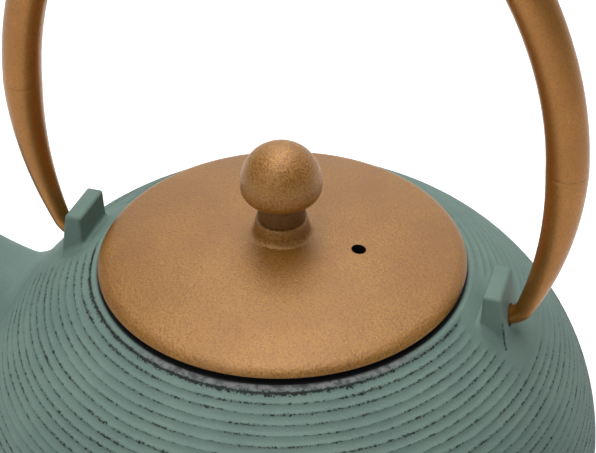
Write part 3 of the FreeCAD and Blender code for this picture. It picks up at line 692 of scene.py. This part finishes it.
def swept_foot(root, away, spread, lead, sink, second, top, rows):
    """A concave foot round a root on the pot's outside: cubics that start the spread away from it, sunk a little, run
    along the outside for the lead's share of the way, and rise to the top from the second control."""
    normal = outside_gap(root)[1]
    away = unit(away - normal * np.sum(away * normal, axis=-1, keepdims=True))
    edge = onto_outside(root + away * spread[:, None], -sink)
    first = onto_outside(root + away * (lead * spread)[:, None], 0.0)
    return bezier(edge, first, second, top, np.linspace(0, 1, rows))


# The spout
def spout_radius(tilt):
    """The spout's outer radius, which falls evenly along its bend."""
    share = (np.asarray(tilt) - SPOUT_TILT[0]) / (SPOUT_TILT[1] - SPOUT_TILT[0])
    return SPOUT_RADII[0] + (SPOUT_RADII[1] - SPOUT_RADII[0]) * share


def spout_meeting(level, shrink, turns):
    """The tilt at which each line along the spout meets a level off the pot's outside, by halving."""
    low = np.full(len(turns), SPOUT_TILT[0] - 0.25)
    high = np.full(len(turns), SPOUT_TILT[1])
    return halving(low, high, lambda tilt: outside_gap(spout_line(tilt, shrink, turns))[0] < level)


def spout_line(tilt, shrink, turns):
    """Points of the lines along the spout, each at its own tilt along the bend, the given distance inside its outer
    skin: a centre on the bend's arc, and the radius across it."""
    x = SPOUT_CENTRE[0] - SPOUT_BEND * np.sin(tilt)
    z = SPOUT_CENTRE[1] - SPOUT_BEND * np.cos(tilt)
    radius = spout_radius(tilt) - shrink
    up = radius * np.sin(turns)
    return np.stack([x + up * np.sin(tilt), radius * np.cos(turns), z + up * np.cos(tilt)], axis=-1)


def pot_spout():
    """The spout: a foot that sweeps out of the belly in a concave curve, a tapering bent tube, a rounded lip, and
    the bore back down to a flange on the pot's inside wall. Each foot curve is a cubic that leaves the belly along
    it and joins the tube along it."""
    turns = np.arange(SPOUT_COLUMNS) * TAU / SPOUT_COLUMNS
    upper = np.maximum(np.sin(turns), 0)
    meeting = spout_meeting(0.0, 0.0, turns)
    rise = 9.0 - 6.0 * upper
    joined = meeting + rise / SPOUT_BEND
    top = spout_line(joined, 0.0, turns)
    above = spout_line(joined + 0.01, 0.0, turns)
    rising = unit(above - top)
    root = spout_line(meeting, 0.0, turns)
    away = spout_line(meeting, -1.0, turns) - root
    second = top - rising * (0.5 * rise)[:, None]
    foot = swept_foot(root, away, 10.5 - 7.5 * upper, 0.45, 0.25, second, top, 22)
    end = SPOUT_TILT[1] - SPOUT_LIP / SPOUT_BEND
    share = np.linspace(0, 1, 30)[1:, None]
    tube = spout_line(joined + (end - joined) * share, 0.0, turns)
    arc = np.linspace(0, math.pi, 13)[1:-1]
    half = SPOUT_WALL / 2
    rim_tilt = end + SPOUT_LIP / SPOUT_BEND * np.sin(arc)
    shrink = spout_radius(rim_tilt) - spout_radius(end) + half - half * np.cos(arc)
    rim = spout_line(rim_tilt[:, None], shrink[:, None], turns)
    deep = spout_meeting(-WALL, SPOUT_WALL, turns)
    share = np.linspace(0, 1, 24)[:, None]
    bore = spout_line(end + (deep - end) * share, SPOUT_WALL, turns)
    mouth = spout_line(deep, SPOUT_WALL, turns)
    outward = spout_line(deep, SPOUT_WALL - 1.0, turns) - mouth
    flange = onto_outside(mouth + unit(outward) * 3.5, -WALL - 0.05)
    back = onto_outside(mouth + unit(outward) * 3.7, -WALL + 0.6)
    points = np.concatenate([foot, tube, rim, bore, flange[None], back[None]])
    enamel_and_painted_shadow = np.zeros(points.shape[:2])
    enamel_and_painted_shadow[len(foot) + len(tube) + len(rim) // 2 :] = 1.0
    return mesh_from("pot_spout", *solid_arrays(points, wrap_rows=True), sharp=50, values={"enamel_and_painted_shadow": enamel_and_painted_shadow})


# The lugs
def oblong(rounds, shorts, longs):
    """Columns round a rounded oblong: for each one the share of the way to the corner's centre along x and y, and
    the direction from that centre, with so many columns in a corner and along the short and long sides."""
    arc = np.linspace(0, math.pi / 2, rounds)
    short, long = np.linspace(-1, 1, shorts + 2)[1:-1], np.linspace(-1, 1, longs + 2)[1:-1]
    parts = []
    for quarter, (x, y) in enumerate(((1, 1), (-1, 1), (-1, -1), (1, -1))):
        turn = arc + quarter * math.pi / 2
        parts.append(np.stack([np.full(rounds, x), np.full(rounds, y), np.cos(turn), np.sin(turn)]))
        if quarter % 2 == 0:
            parts.append(np.stack([-x * short, np.full(shorts, y), np.zeros(shorts), np.full(shorts, y)]))
        else:
            parts.append(np.stack([np.full(longs, x), -y * long, np.full(longs, x), np.zeros(longs)]))
    return np.concatenate(parts, axis=1)


# The oblong's columns, and the column of its near outer corner
OBLONG = oblong(7, 5, 18)
LUG_CORNER = 52


def lug_section(height, inset=0.0):
    """A level ring of a lug: a rounded oblong, its outer face leaning out and its ends spreading towards the foot,
    drawn in all round by the inset."""
    drop = LUG_TOP - height
    outer = LUG_OUTER + LUG_LEAN * drop / LUG_FALL
    half = LUG_HALF + LUG_FLARE * drop
    thick = (outer - LUG_INNER) / 2
    x = (outer + LUG_INNER) / 2 + OBLONG[0] * (thick - LUG_ROUND) + OBLONG[2] * (LUG_ROUND - inset)
    y = OBLONG[1] * (half - LUG_ROUND) + OBLONG[3] * (LUG_ROUND - inset)
    return np.stack(np.broadcast_arrays(x, y, height), axis=-1)


def lug_meeting():
    """The height at which each line down a lug meets the pot's outside, by halving."""
    low = np.full(OBLONG.shape[1], LUG_LOWEST)
    high = np.full(OBLONG.shape[1], LUG_TOP - 4.0)
    return halving(low, high, lambda height: outside_gap(lug_section(height))[0] < 0)


def pot_lug(name, side):
    """A lug: its foot leaves the shoulder in a concave cubic, its sides rise to a flat top with rounded edges, and a
    blind hinge hole goes in from its outer face. The rear lug's near outer edge is scraped low down."""
    foot = lug_meeting()
    away = np.stack([OBLONG[2], OBLONG[3], np.zeros_like(foot)], axis=-1)
    inward, outward = np.maximum(-OBLONG[2], 0), np.maximum(OBLONG[2], 0)
    spread = 2.6 - 0.4 * inward + 0.2 * outward
    rise = 2.2 - 0.2 * inward - 0.9 * outward
    second, top = lug_section(foot + 0.35 * rise), lug_section(foot + rise)
    skirt = swept_foot(lug_section(foot), away, spread, 0.35, 0.2, second, top, 12)
    share = np.linspace(0, 1, 30)[1:, None]
    wall = lug_section((foot + rise) + (LUG_TOP - LUG_ROUND - foot - rise) * share)
    arc = np.linspace(0, math.pi / 2, 9)[1:, None]
    rounded = lug_section(LUG_TOP - LUG_ROUND * (1 - np.sin(arc)), LUG_ROUND * (1 - np.cos(arc)))
    peak = np.array([LUG_PEAK, 0.0, LUG_TOP])
    flat = peak + (rounded[-1:] - peak) * np.array([0.66, 0.33])[:, None, None]
    points = np.concatenate([skirt, wall, rounded, flat])
    gap = np.linalg.norm(points - points[:, LUG_CORNER : LUG_CORNER + 1], axis=-1)
    wear_and_shade = smoothstep(*SCRAPE_LOW, points[..., 2]) * smoothstep(*SCRAPE_HIGH, points[..., 2]) * float(side > 0)
    values = {"gap": np.append(gap.ravel(), [NO_RING] * 2), "wear_and_shade": np.append(wear_and_shade.ravel(), [0.0, 0.0])}
    mirror = np.array([side, 1, 1])
    base = np.array([LUG_ROOT[0], 0.0, LUG_ROOT[1]])
    closed = solid_arrays(points * mirror, first_pole=base * mirror, last_pole=peak * mirror)
    hole = [(side * reach, 0, HINGE_HEIGHT) for reach in HINGE_HOLE]
    return drilled(mesh_from(name, *closed, sharp=60, values=values), *hole, HINGE_RADIUS, 60)


POT_MESHES = [pot_shoulder(), pot_belly(), pot_bowl(), pot_spout()]
POT_MESHES += [pot_lug("lug_rear", 1), pot_lug("lug_spout", -1)]
for mesh in POT_MESHES:
    place(mesh, "pot", "sage_iron", SAGE, "pot_body")


# The lid and its knob
VENT_RADIUS = 1.9
VENT_TURN = math.radians(0.9)
VENT = 20.7 * np.array([math.cos(VENT_TURN), -math.sin(VENT_TURN)])
LID_SEAT = LAND_HEIGHT + 1.2
LID_RIM = LID_SEAT + 2.1
LID_DOME = 195.0
LID_HOLLOW = 192.0
LID_CENTRE = LID_RIM + 6.0 - LID_DOME
SKIRT_OUTER = 40.05
SKIRT_INNER = 37.05
SCREW_HOLE = 2.25
# Share of painted light that makes the knob's cap and the lid's boss paler
CAP_AND_BOSS_PAINTED_LIGHT = 0.45
KNOB_HOLE = 2.05
KNOB_DRILLED = 12.0
KNOB_CROWN = 10.8
KNOB_FULLNESS = 0.94


def dome_rows(reach, ball):
    """Profile points at the given radii on a ball about the dome's centre."""
    return np.stack([reach, LID_CENTRE + np.sqrt(ball**2 - reach**2)], axis=-1)


def lid_mesh():
    """The lid: a shallow spherical dome that falls in a parabola to a thin undercut edge, a boss that flares into it,
    a seat, a skirt and a screw hole, turned about the axis, with a small vent hole drilled through."""
    edge, top, low = LID_HIGH[0], LID_HIGH[2], LID_LOW[2]
    dome = dome_rows(np.linspace(8.8, edge - 3.0, 34), LID_DOME)
    boss = np.array([[SCREW_HOLE, top], [6.2, top], [6.5, top - 0.07], [6.7, top - 0.3], [6.85, top - 1.2]])
    start, first = np.array([7.1, top - 2.6]), np.array([7.25, top - 4.2])
    flare = bezier(start, first, dome[0] + np.array([-1.0, 0.05]), dome[0], np.linspace(0, 1, 12)[:-1])[:, 0]
    knee, brink = np.array([edge - 0.65, LID_RIM + 0.05]), np.array([edge, LID_SEAT + 0.7])
    lip = parabola(dome[-1], knee, brink, np.linspace(0, 1, 9)[1:, None])
    undercut = np.array([[edge - 0.05, LID_SEAT + 0.45], [edge - 0.4, LID_SEAT + 0.15], [edge - 1.0, LID_SEAT]])
    hollow = dome_rows(np.linspace(36.0, 6.0, 16), LID_HOLLOW)
    corners = [(44, LID_SEAT, 0), (SKIRT_OUTER, LID_SEAT, 0.3), (SKIRT_OUTER, low, 0.7), (SKIRT_INNER, low, 0.7)]
    corners += [(SKIRT_INNER, hollow[0, 1] - 0.4, 0.8), (36.0, hollow[0, 1], 0)]
    skirt = soft_profile(corners)[1:-1]
    pad = np.array([[SCREW_HOLE, hollow[-1, 1]]])
    upper = np.concatenate([boss, flare, dome, lip])
    profile = np.concatenate([upper, undercut, skirt, hollow, pad])
    points = turned(profile, 200)
    radius = np.hypot(points[..., 0], points[..., 1])
    lower = np.arange(len(profile))[:, None] >= len(upper)
    # Painted light: the boss is paler near the knob
    rubbed_and_painted_light = CAP_AND_BOSS_PAINTED_LIGHT * smoothstep(8.6, 7.6, radius) * ~lower
    # The lower rows are black: enamelled underneath, and along the undercut just below the edge also painted shadow
    # of the gap
    values = {"rubbed_and_painted_light": rubbed_and_painted_light, "enamel_and_painted_shadow": np.broadcast_to(lower.astype(float), radius.shape)}
    mesh = mesh_from("lid_shell", *solid_arrays(points, wrap_rows=True), sharp=40, values=values)
    return drilled(mesh, (*VENT, 90.0), (*VENT, 120.0), VENT_RADIUS, 40)


def blacken_vent(lid):
    """Near-black painted shade on the wall of the vent: the faces whose middles lie within its radius of its axis."""
    middles = np.zeros(len(lid.data.polygons) * 3, dtype=np.float32)
    lid.data.polygons.foreach_get("center", middles)
    across = middles.reshape(-1, 3)[:, :2] / MM - VENT
    inside = np.hypot(across[:, 0], across[:, 1]) < VENT_RADIUS
    # Painted shade: the vent's wall is near-black
    lid.data.materials.append(PAINTED_VENT_SHADE)
    lid.data.polygons.foreach_set("material_index", inside.astype(np.int32))


def knob_mesh():
    """The knob: a neck, an undercut cap with a thin lip, and a domed top, turned about the axis, with the screw's
    hole inside."""
    low, high, widest = KNOB_LOW[2], KNOB_HIGH[2], KNOB_HIGH[0]
    neck = [[KNOB_HOLE, low + KNOB_DRILLED], [KNOB_HOLE, low], [5.9, low], [6.15, low + 0.15]]
    neck += [[6.2, low + 0.5], [6.1, low + 3.5], [6.2, low + 6.0]]
    arc = np.linspace(-math.pi / 2, 0, 10)
    under = np.stack([6.9 + 3.5 * np.cos(arc), low + 9.7 + 3.5 * np.sin(arc)], axis=-1)
    arc = np.linspace(0, math.pi / 2, 26)[:-1]
    rise = low + KNOB_CROWN + (high - low - KNOB_CROWN) * np.sin(arc)
    crown = np.stack([widest * np.cos(arc) ** KNOB_FULLNESS, rise], axis=-1)
    points = turned(np.concatenate([neck, under, crown]), 128)
    closed = solid_arrays(points, first_pole=(0, 0, low + KNOB_DRILLED), last_pole=(0, 0, high))
    # Painted shade: the neck under the cap is darker
    neck_share = smoothstep(low + 6.9, low + 6.2, closed[0][:, 2])
    # Painted light: the cap above the neck is paler
    values = {"painted_neck_shade": 0.5 * neck_share, "rubbed_and_painted_light": CAP_AND_BOSS_PAINTED_LIGHT * (1 - neck_share)}
    return mesh_from("knob_cap", *closed, sharp=50, values=values)


blacken_vent(place(lid_mesh(), "lid", "copper_iron", COPPER, "lid"))
place(knob_mesh(), "lid", "copper_iron", COPPER, "knob")


# The handle
def arc_chain(start, heading, arcs, spacing):
    """Points and headings along arcs (radius, turn) that follow one another, each bending clockwise from the last
    heading."""
    spot, angle = np.array(start, dtype=float), heading
    points, headings = [spot[None, :]], [np.array([angle])]
    for radius, turn in arcs:
        count = max(int(radius * turn / spacing), 8)
        angles = angle + np.linspace(0, turn, count + 1)[1:]
        step = radius * np.stack([np.sin(angles) - math.sin(angle), np.cos(angles) - math.cos(angle)], axis=-1)
        points.append(spot + step)
        headings.append(angles)
        spot, angle = points[-1][-1], angles[-1]
    return np.concatenate(points), np.concatenate(headings)


def bent_rod(name, path, headings, radii, columns):
    """A round rod in the plane y = 0 along a path with the given headings and radii."""
    centres = np.stack([path[:, 0], np.zeros(len(path)), path[:, 1]], axis=-1)
    sides = np.broadcast_to(np.array([0.0, 1.0, 0.0]), centres.shape)
    uprights = np.stack([np.sin(headings), np.zeros(len(path)), np.cos(headings)], axis=-1)
    return mesh_from(name, *rod_arrays(centres, sides, uprights, radii, columns), sharp=50)


# The bail's centre line: an arch, an arm either side tangent to it, and a hook tangent to each arm
ARCH_RADIUS = 64.0
ARM_RADIUS = 102.0
GRIP_RADIUS = 5.0
HOOK_RADIUS = 2.4
HOOK_BEND = 5.0
HOOK_X = 59.375
SEAM_ROUND = 0.06
PIN_ROUND = 0.6
HANDLE_TOP = LAND_HEIGHT + 119.3
JOINT_Z = LAND_HEIGHT + 41.5
ARM_SHIFT = ARM_RADIUS - ARCH_RADIUS
HOOK_FALL = HANDLE_TOP - ARCH_RADIUS - HINGE_HEIGHT - HOOK_BEND
HOOK_FAR = math.hypot(HOOK_X, HOOK_FALL)
HOOK_REACH = ARM_RADIUS - HOOK_BEND
ARM_BEARING = math.acos((HOOK_FAR**2 + ARM_SHIFT**2 - HOOK_REACH**2) / (2 * HOOK_FAR * ARM_SHIFT))
ARCH_TURN = ARM_BEARING + math.atan(HOOK_FALL / HOOK_X) - math.pi / 2
ARM_X = -ARM_SHIFT * math.sin(ARCH_TURN)
ARM_Z = HANDLE_TOP - ARCH_RADIUS - ARM_SHIFT * math.cos(ARCH_TURN)
JOINT_TURN = math.acos((JOINT_Z - ARM_Z) / ARM_RADIUS)
JOINT_X = ARM_X + ARM_RADIUS * math.sin(JOINT_TURN)
HOOK_TURN = math.pi - math.acos((ARM_Z - HINGE_HEIGHT - HOOK_BEND) / HOOK_REACH)


def with_ends(path, headings, radii, round_start, round_end):
    """The rod's rows with a few close rows added at both ends, where its radii ease in as a quarter circle over the
    given lengths."""
    steps = np.linalg.norm(np.diff(path, axis=0), axis=-1)
    run = np.concatenate([[0], np.cumsum(steps)])
    close = np.array([0.0, 0.15, 0.4, 0.7, 1.0])
    extra = np.concatenate([close * round_start, run[-1] - close * round_end])
    rows = np.unique(np.concatenate([run, extra]))
    path = np.stack([np.interp(rows, run, path[:, 0]), np.interp(rows, run, path[:, 1])], axis=-1)
    headings, radii = np.interp(rows, run, headings), np.interp(rows, run, radii)
    for size, gap in ((round_start, rows), (round_end, rows[-1] - rows)):
        short = np.clip(1 - gap / size, 0, 1)
        radii = radii - size * (1 - np.sqrt(1 - short**2))
    return path, headings, radii


def grip_mesh():
    """The grip: a round rod along the arch and the upper part of both arms."""
    arm = (ARM_RADIUS, JOINT_TURN - ARCH_TURN)
    path, headings = arc_chain((-JOINT_X, JOINT_Z), -JOINT_TURN, [arm, (ARCH_RADIUS, 2 * ARCH_TURN), arm], 1.6)
    radii = np.full(len(path), GRIP_RADIUS)
    return bent_rod("grip_rod", *with_ends(path, headings, radii, SEAM_ROUND, SEAM_ROUND), 64)


def end_mesh(name, side):
    """A handle end: the arm tapers as the power 1.2 from the grip's radius to the hook's, then bends in to the
    pin."""
    tip = PIN_LOW[0]
    arcs = [(ARM_RADIUS, HOOK_TURN - JOINT_TURN), (HOOK_BEND, math.pi - HOOK_TURN)]
    path, headings = arc_chain((JOINT_X, JOINT_Z), JOINT_TURN, arcs, 1.2)
    path = np.concatenate([path, [[path[-1, 0] * 0.5 + tip * 0.5, path[-1, 1]], [tip, path[-1, 1]]]])
    headings = np.concatenate([headings, [math.pi, math.pi]])
    share = np.clip((headings - JOINT_TURN) / (HOOK_TURN - JOINT_TURN), 0, 1)
    radii = GRIP_RADIUS + (HOOK_RADIUS - GRIP_RADIUS) * share**1.2
    path, headings, radii = with_ends(path, headings, radii, SEAM_ROUND, PIN_ROUND)
    return bent_rod(name, path * np.array([side, 1]), headings if side > 0 else -headings, radii, 48)


place(grip_mesh(), "handle", "bronze_handle", BRONZE, "handle_grip")
place(end_mesh("end_rod_rear", 1), "handle", "bronze_handle", BRONZE, "handle_end_rear")
place(end_mesh("end_rod_spout", -1), "handle", "bronze_handle", BRONZE, "handle_end_spout")


# The infuser basket
WIRE = 0.15
WIRE_SWAY = 0.14
WALL_INNER = 40.65
WALL_UPRIGHTS = 144
WALL_HOOPS = 28
FLOOR_PITCH = 2.1
COLLAR = (41.3, 42.0)
BAND_SHEET = 0.7
BAND_LIP = 36.6


def turned_piece(name, corners, columns=128):
    """A closed ring turned from soft corners (radius, height, round)."""
    return mesh_from(name, *solid_arrays(turned(soft_profile(corners), columns), wrap_rows=True), sharp=50)


def rim_mesh():
    """The basket's rim: a flat flange that rests on the land, and a collar down from its inner edge."""
    low, high, outer = RIM_LOW[2], RIM_HIGH[2], RIM_HIGH[0]
    inner, collar = COLLAR
    corners = [(inner, high, 0.5), (outer, high, 0.55), (outer, LAND_HEIGHT, 0.55), (collar, LAND_HEIGHT, 0)]
    return turned_piece("basket_rim", corners + [(collar, low, 0), (inner, low, 0)])


def band_mesh():
    """The band round the basket's foot: a thin ring with a lip turned in under the base."""
    low, high, outer = BAND_LOW[2], BAND_HIGH[2], BAND_HIGH[0]
    inner, shelf = outer - BAND_SHEET, low + BAND_SHEET
    corners = [(outer, low, 0.6), (outer, high, 0), (inner, high, 0), (inner, shelf, 0)]
    return turned_piece("basket_band", corners + [(BAND_LIP, shelf, 0), (BAND_LIP, low, 0)])


def wires(centres, sides, uprights):
    """Thin wires with four sides each: wires x points of centres, closed at the ends."""
    turns = np.arange(4) * TAU / 4
    ring = sides[..., None, :] * np.cos(turns)[:, None] + uprights[..., None, :] * np.sin(turns)[:, None]
    points = centres[..., None, :] + WIRE * ring
    count, length = centres.shape[:2]
    cells = grid_quads(length, 4, False)
    starts = np.arange(count)[:, None] * length * 4
    quads = (starts[:, None] + cells[None]).reshape(-1, 4)
    first = starts + np.array([3, 2, 1, 0])
    last = starts + (length - 1) * 4 + np.array([0, 1, 2, 3])
    return points.reshape(-1, 3), np.concatenate([quads, first, last])


def woven(name, one, two):
    """One mesh of two sets of wires, each with its centres, side and upright directions."""
    points, quads = wires(*one)
    more_points, more_quads = wires(*two)
    vertices = np.concatenate([points, more_points])
    quads = np.concatenate([quads, more_quads + len(points)])
    return mesh_from(name, vertices, quads, np.zeros((0, 3), dtype=int), sharp=100)


def by_turns(count, values):
    """Rows of the values, as they are and with their sign changed by turns."""
    return np.where(np.arange(count)[:, None] % 2 == 0, values, -values)


def woven_wall():
    """The basket's wall: upright wires and level hoops that pass over and under each other, each one swaying in
    and out by a cosine."""
    radius = (MESH_HIGH[0] + WALL_INNER) / 2
    heights = np.linspace(MESH_LOW[2] + WIRE, MESH_HIGH[2] - WIRE, WALL_HOOPS * 2 + 1)
    turns = np.arange(WALL_UPRIGHTS) * TAU / WALL_UPRIGHTS
    cos, sin = np.cos(turns), np.sin(turns)
    beat = np.cos(np.pi * np.arange(len(heights)) / 2)
    swing = radius + WIRE_SWAY * by_turns(WALL_UPRIGHTS, beat)
    stands = np.stack(np.broadcast_arrays(swing * cos[:, None], swing * sin[:, None], heights), -1)
    out, side = np.stack([cos, sin, 0 * turns], axis=-1), np.stack([-sin, cos, 0 * turns], axis=-1)
    spread = [np.broadcast_to(axis[:, None, :], stands.shape) for axis in (out, side)]
    levels = heights[::2]
    turns = np.arange(WALL_UPRIGHTS * 2 + 1) * TAU / (WALL_UPRIGHTS * 2)
    cos, sin = np.cos(turns), np.sin(turns)
    beat = np.cos(np.pi * np.arange(len(turns)) / 2)
    swing = radius - WIRE_SWAY * by_turns(len(levels), beat)
    hoops = np.stack(np.broadcast_arrays(swing * cos, swing * sin, levels[:, None]), -1)
    out = np.broadcast_to(np.stack([cos, sin, 0 * turns], axis=-1)[None], hoops.shape)
    lift = np.broadcast_to(np.array([0.0, 0.0, 1.0]), hoops.shape)
    return woven("basket_wall", (stands, *spread), (hoops, out, lift))


def woven_floor():
    """The basket's floor: wires along x and along y, cut to a circle and swaying over and under by a cosine."""
    reach = BASE_HIGH[0] - 0.2
    middle = (BASE_LOW[2] + BASE_HIGH[2]) / 2
    offsets = np.arange(-19, 20) * FLOOR_PITCH
    half = np.sqrt(np.maximum(reach**2 - offsets**2, 1.0))
    along = half[:, None] * np.linspace(-1, 1, 61)
    sways = WIRE_SWAY * by_turns(len(offsets), np.cos(np.pi * along / FLOOR_PITCH))
    across = np.broadcast_to(offsets[:, None], along.shape)
    first = np.stack([along, across, middle + sways], axis=-1)
    second = np.stack([across, along, middle - sways], axis=-1)
    axes = ((0, 1, 0), (-1, 0, 0), (0, 0, 1))
    left, back, lift = [np.broadcast_to(np.array(axis, dtype=float), first.shape) for axis in axes]
    return woven("basket_floor", (first, left, lift), (second, back, lift))


place(rim_mesh(), "infuser", "steel", STEEL, "infuser_rim")
place(band_mesh(), "infuser", "steel", STEEL, "infuser_band")
place(woven_wall(), "infuser", "steel", STEEL, "infuser_mesh")
place(woven_floor(), "infuser", "steel", STEEL, "infuser_base")
for item in bpy.context.scene.objects:
    if item.type == "MESH" and item.name in ("knob_screw", "knob_washer"):
        item.data.materials.clear()
        item.data.materials.append(STEEL)


# Floor, light and camera
FLOOR_GLOW = 0.6
FLOOR_HALF = 4.0
FLOOR_LEVEL = -0.0002
BRIGHT_SIDE = (-0.05, 0.88, 0.47)
LAMP_TARGET = Vector((0.0, 0.0, 0.1))
LAMPS = (
    ("lamp_top", (-0.05, -0.05, 1.1), 0.7, 6.8),
    ("lamp_back", (-0.19, 0.54, 1.05), 0.6, 3.6),
    ("lamp_front", (-0.3, -0.85, 0.8), 0.6, 2.2),
)
CAMERA_RISE, CAMERA_TURN = math.radians(37.049), math.radians(19.518)
CAMERA_YAW, CAMERA_PITCH, CAMERA_ROLL = math.radians(0.685), math.radians(0.946), math.radians(-1.099)
CAMERA_AWAY = 0.35
CAMERA_LENS = 81.154


def floor_material():
    """A pale matte floor that looks a little brighter to the camera and in reflections than it is, so that it stays
    white."""
    shade = Shader("floor", roughness=1.0, specular=0.0)
    shade.colour((0.8, 0.8, 0.8, 1.0))
    path = shade.tree.nodes.new("ShaderNodeLightPath")
    seen = shade.math("MULTIPLY", path.outputs["Is Camera Ray"], FLOOR_GLOW)
    mirrored = shade.math("MULTIPLY", path.outputs["Is Glossy Ray"], FLOOR_GLOW)
    shade.join(shade.math("ADD", seen, mirrored), shade.surface.inputs["Emission Strength"])
    shade.surface.inputs["Emission Color"].default_value = (1.0, 1.0, 1.0, 1.0)
    return shade.material


def stage_floor():
    """A wide square just under the pot's foot."""
    mesh = bpy.data.meshes.new("floor")
    corners = [(x * FLOOR_HALF, y * FLOOR_HALF, FLOOR_LEVEL) for x, y in ((-1, -1), (1, -1), (1, 1), (-1, 1))]
    mesh.from_pydata(corners, [], [(0, 1, 2, 3)])
    mesh.materials.append(floor_material())
    floor = bpy.data.objects.new("floor", mesh)
    bpy.context.scene.collection.objects.link(floor)


def stage_world():
    """A pale surround, brighter behind and above than in front, that looks white to the camera. Its strength grows
    with the cosine of the angle from a direction up and back, and is twice as much in reflections."""
    world = bpy.data.worlds.new("surround")
    world.use_nodes = True
    tree = world.node_tree
    ground = tree.nodes["Background"]
    ground.inputs["Color"].default_value = (1.0, 1.0, 1.0, 1.0)
    coordinates = tree.nodes.new("ShaderNodeTexCoord")
    cosine = tree.nodes.new("ShaderNodeVectorMath")
    cosine.operation = "DOT_PRODUCT"
    cosine.inputs[1].default_value = BRIGHT_SIDE
    tree.links.new(coordinates.outputs["Generated"], cosine.inputs[0])
    level = tree.nodes.new("ShaderNodeMapRange")
    for key, number in (("From Min", 0.2), ("From Max", 1.0), ("To Min", 0.15), ("To Max", 0.55)):
        level.inputs[key].default_value = number
    tree.links.new(cosine.outputs["Value"], level.inputs["Value"])
    path = tree.nodes.new("ShaderNodeLightPath")
    brightest = tree.nodes.new("ShaderNodeMath")
    brightest.operation = "MAXIMUM"
    mirrored = tree.nodes.new("ShaderNodeMath")
    mirrored.operation = "MULTIPLY_ADD"
    tree.links.new(path.outputs["Is Glossy Ray"], mirrored.inputs[0])
    tree.links.new(level.outputs["Result"], mirrored.inputs[1])
    tree.links.new(level.outputs["Result"], mirrored.inputs[2])
    tree.links.new(path.outputs["Is Camera Ray"], brightest.inputs[0])
    tree.links.new(mirrored.outputs["Value"], brightest.inputs[1])
    tree.links.new(brightest.outputs["Value"], ground.inputs["Strength"])
    bpy.context.scene.world = world


def softbox(name, spot, size, power):
    """A square lamp at spot that faces the pot."""
    lamp = bpy.data.lights.new(name, "AREA")
    lamp.shape = "SQUARE"
    lamp.size = size
    lamp.energy = power
    item = bpy.data.objects.new(name, lamp)
    item.location = spot
    item.rotation_euler = (LAMP_TARGET - Vector(spot)).to_track_quat("-Z", "Y").to_euler()
    bpy.context.scene.collection.objects.link(item)


def turned_pair(first, second, angle):
    """Two upright directions, both turned by an angle from the first towards the second."""
    cos, sin = math.cos(angle), math.sin(angle)
    return first * cos + second * sin, second * cos - first * sin


def stage_camera():
    """The photo's view: a lens 350 mm from the lid's rim, turned a little about its own axes."""
    rim = Vector((0.0, 0.0, LID_RIM * MM))
    flat = math.cos(CAMERA_RISE)
    back = Vector((math.sin(CAMERA_TURN) * flat, -math.cos(CAMERA_TURN) * flat, math.sin(CAMERA_RISE)))
    right = Vector((math.cos(CAMERA_TURN), math.sin(CAMERA_TURN), 0.0))
    up = back.cross(right)
    sight, right = turned_pair(-back, right, CAMERA_YAW)
    sight, up = turned_pair(sight, up, CAMERA_PITCH)
    right, up = turned_pair(right, up, CAMERA_ROLL)
    camera = bpy.data.cameras.new("camera")
    camera.sensor_width = 36.0
    camera.lens = CAMERA_LENS
    camera.clip_start = 0.01
    item = bpy.data.objects.new("camera", camera)
    turned_axes = Matrix((right, up, -sight)).transposed().to_4x4()
    item.matrix_world = Matrix.Translation(rim + back * CAMERA_AWAY) @ turned_axes
    bpy.context.scene.collection.objects.link(item)
    bpy.context.scene.camera = item


stage_floor()
stage_world()
for lamp in LAMPS:
    softbox(*lamp)
stage_camera()
bpy.context.scene.view_settings.view_transform = "Standard"
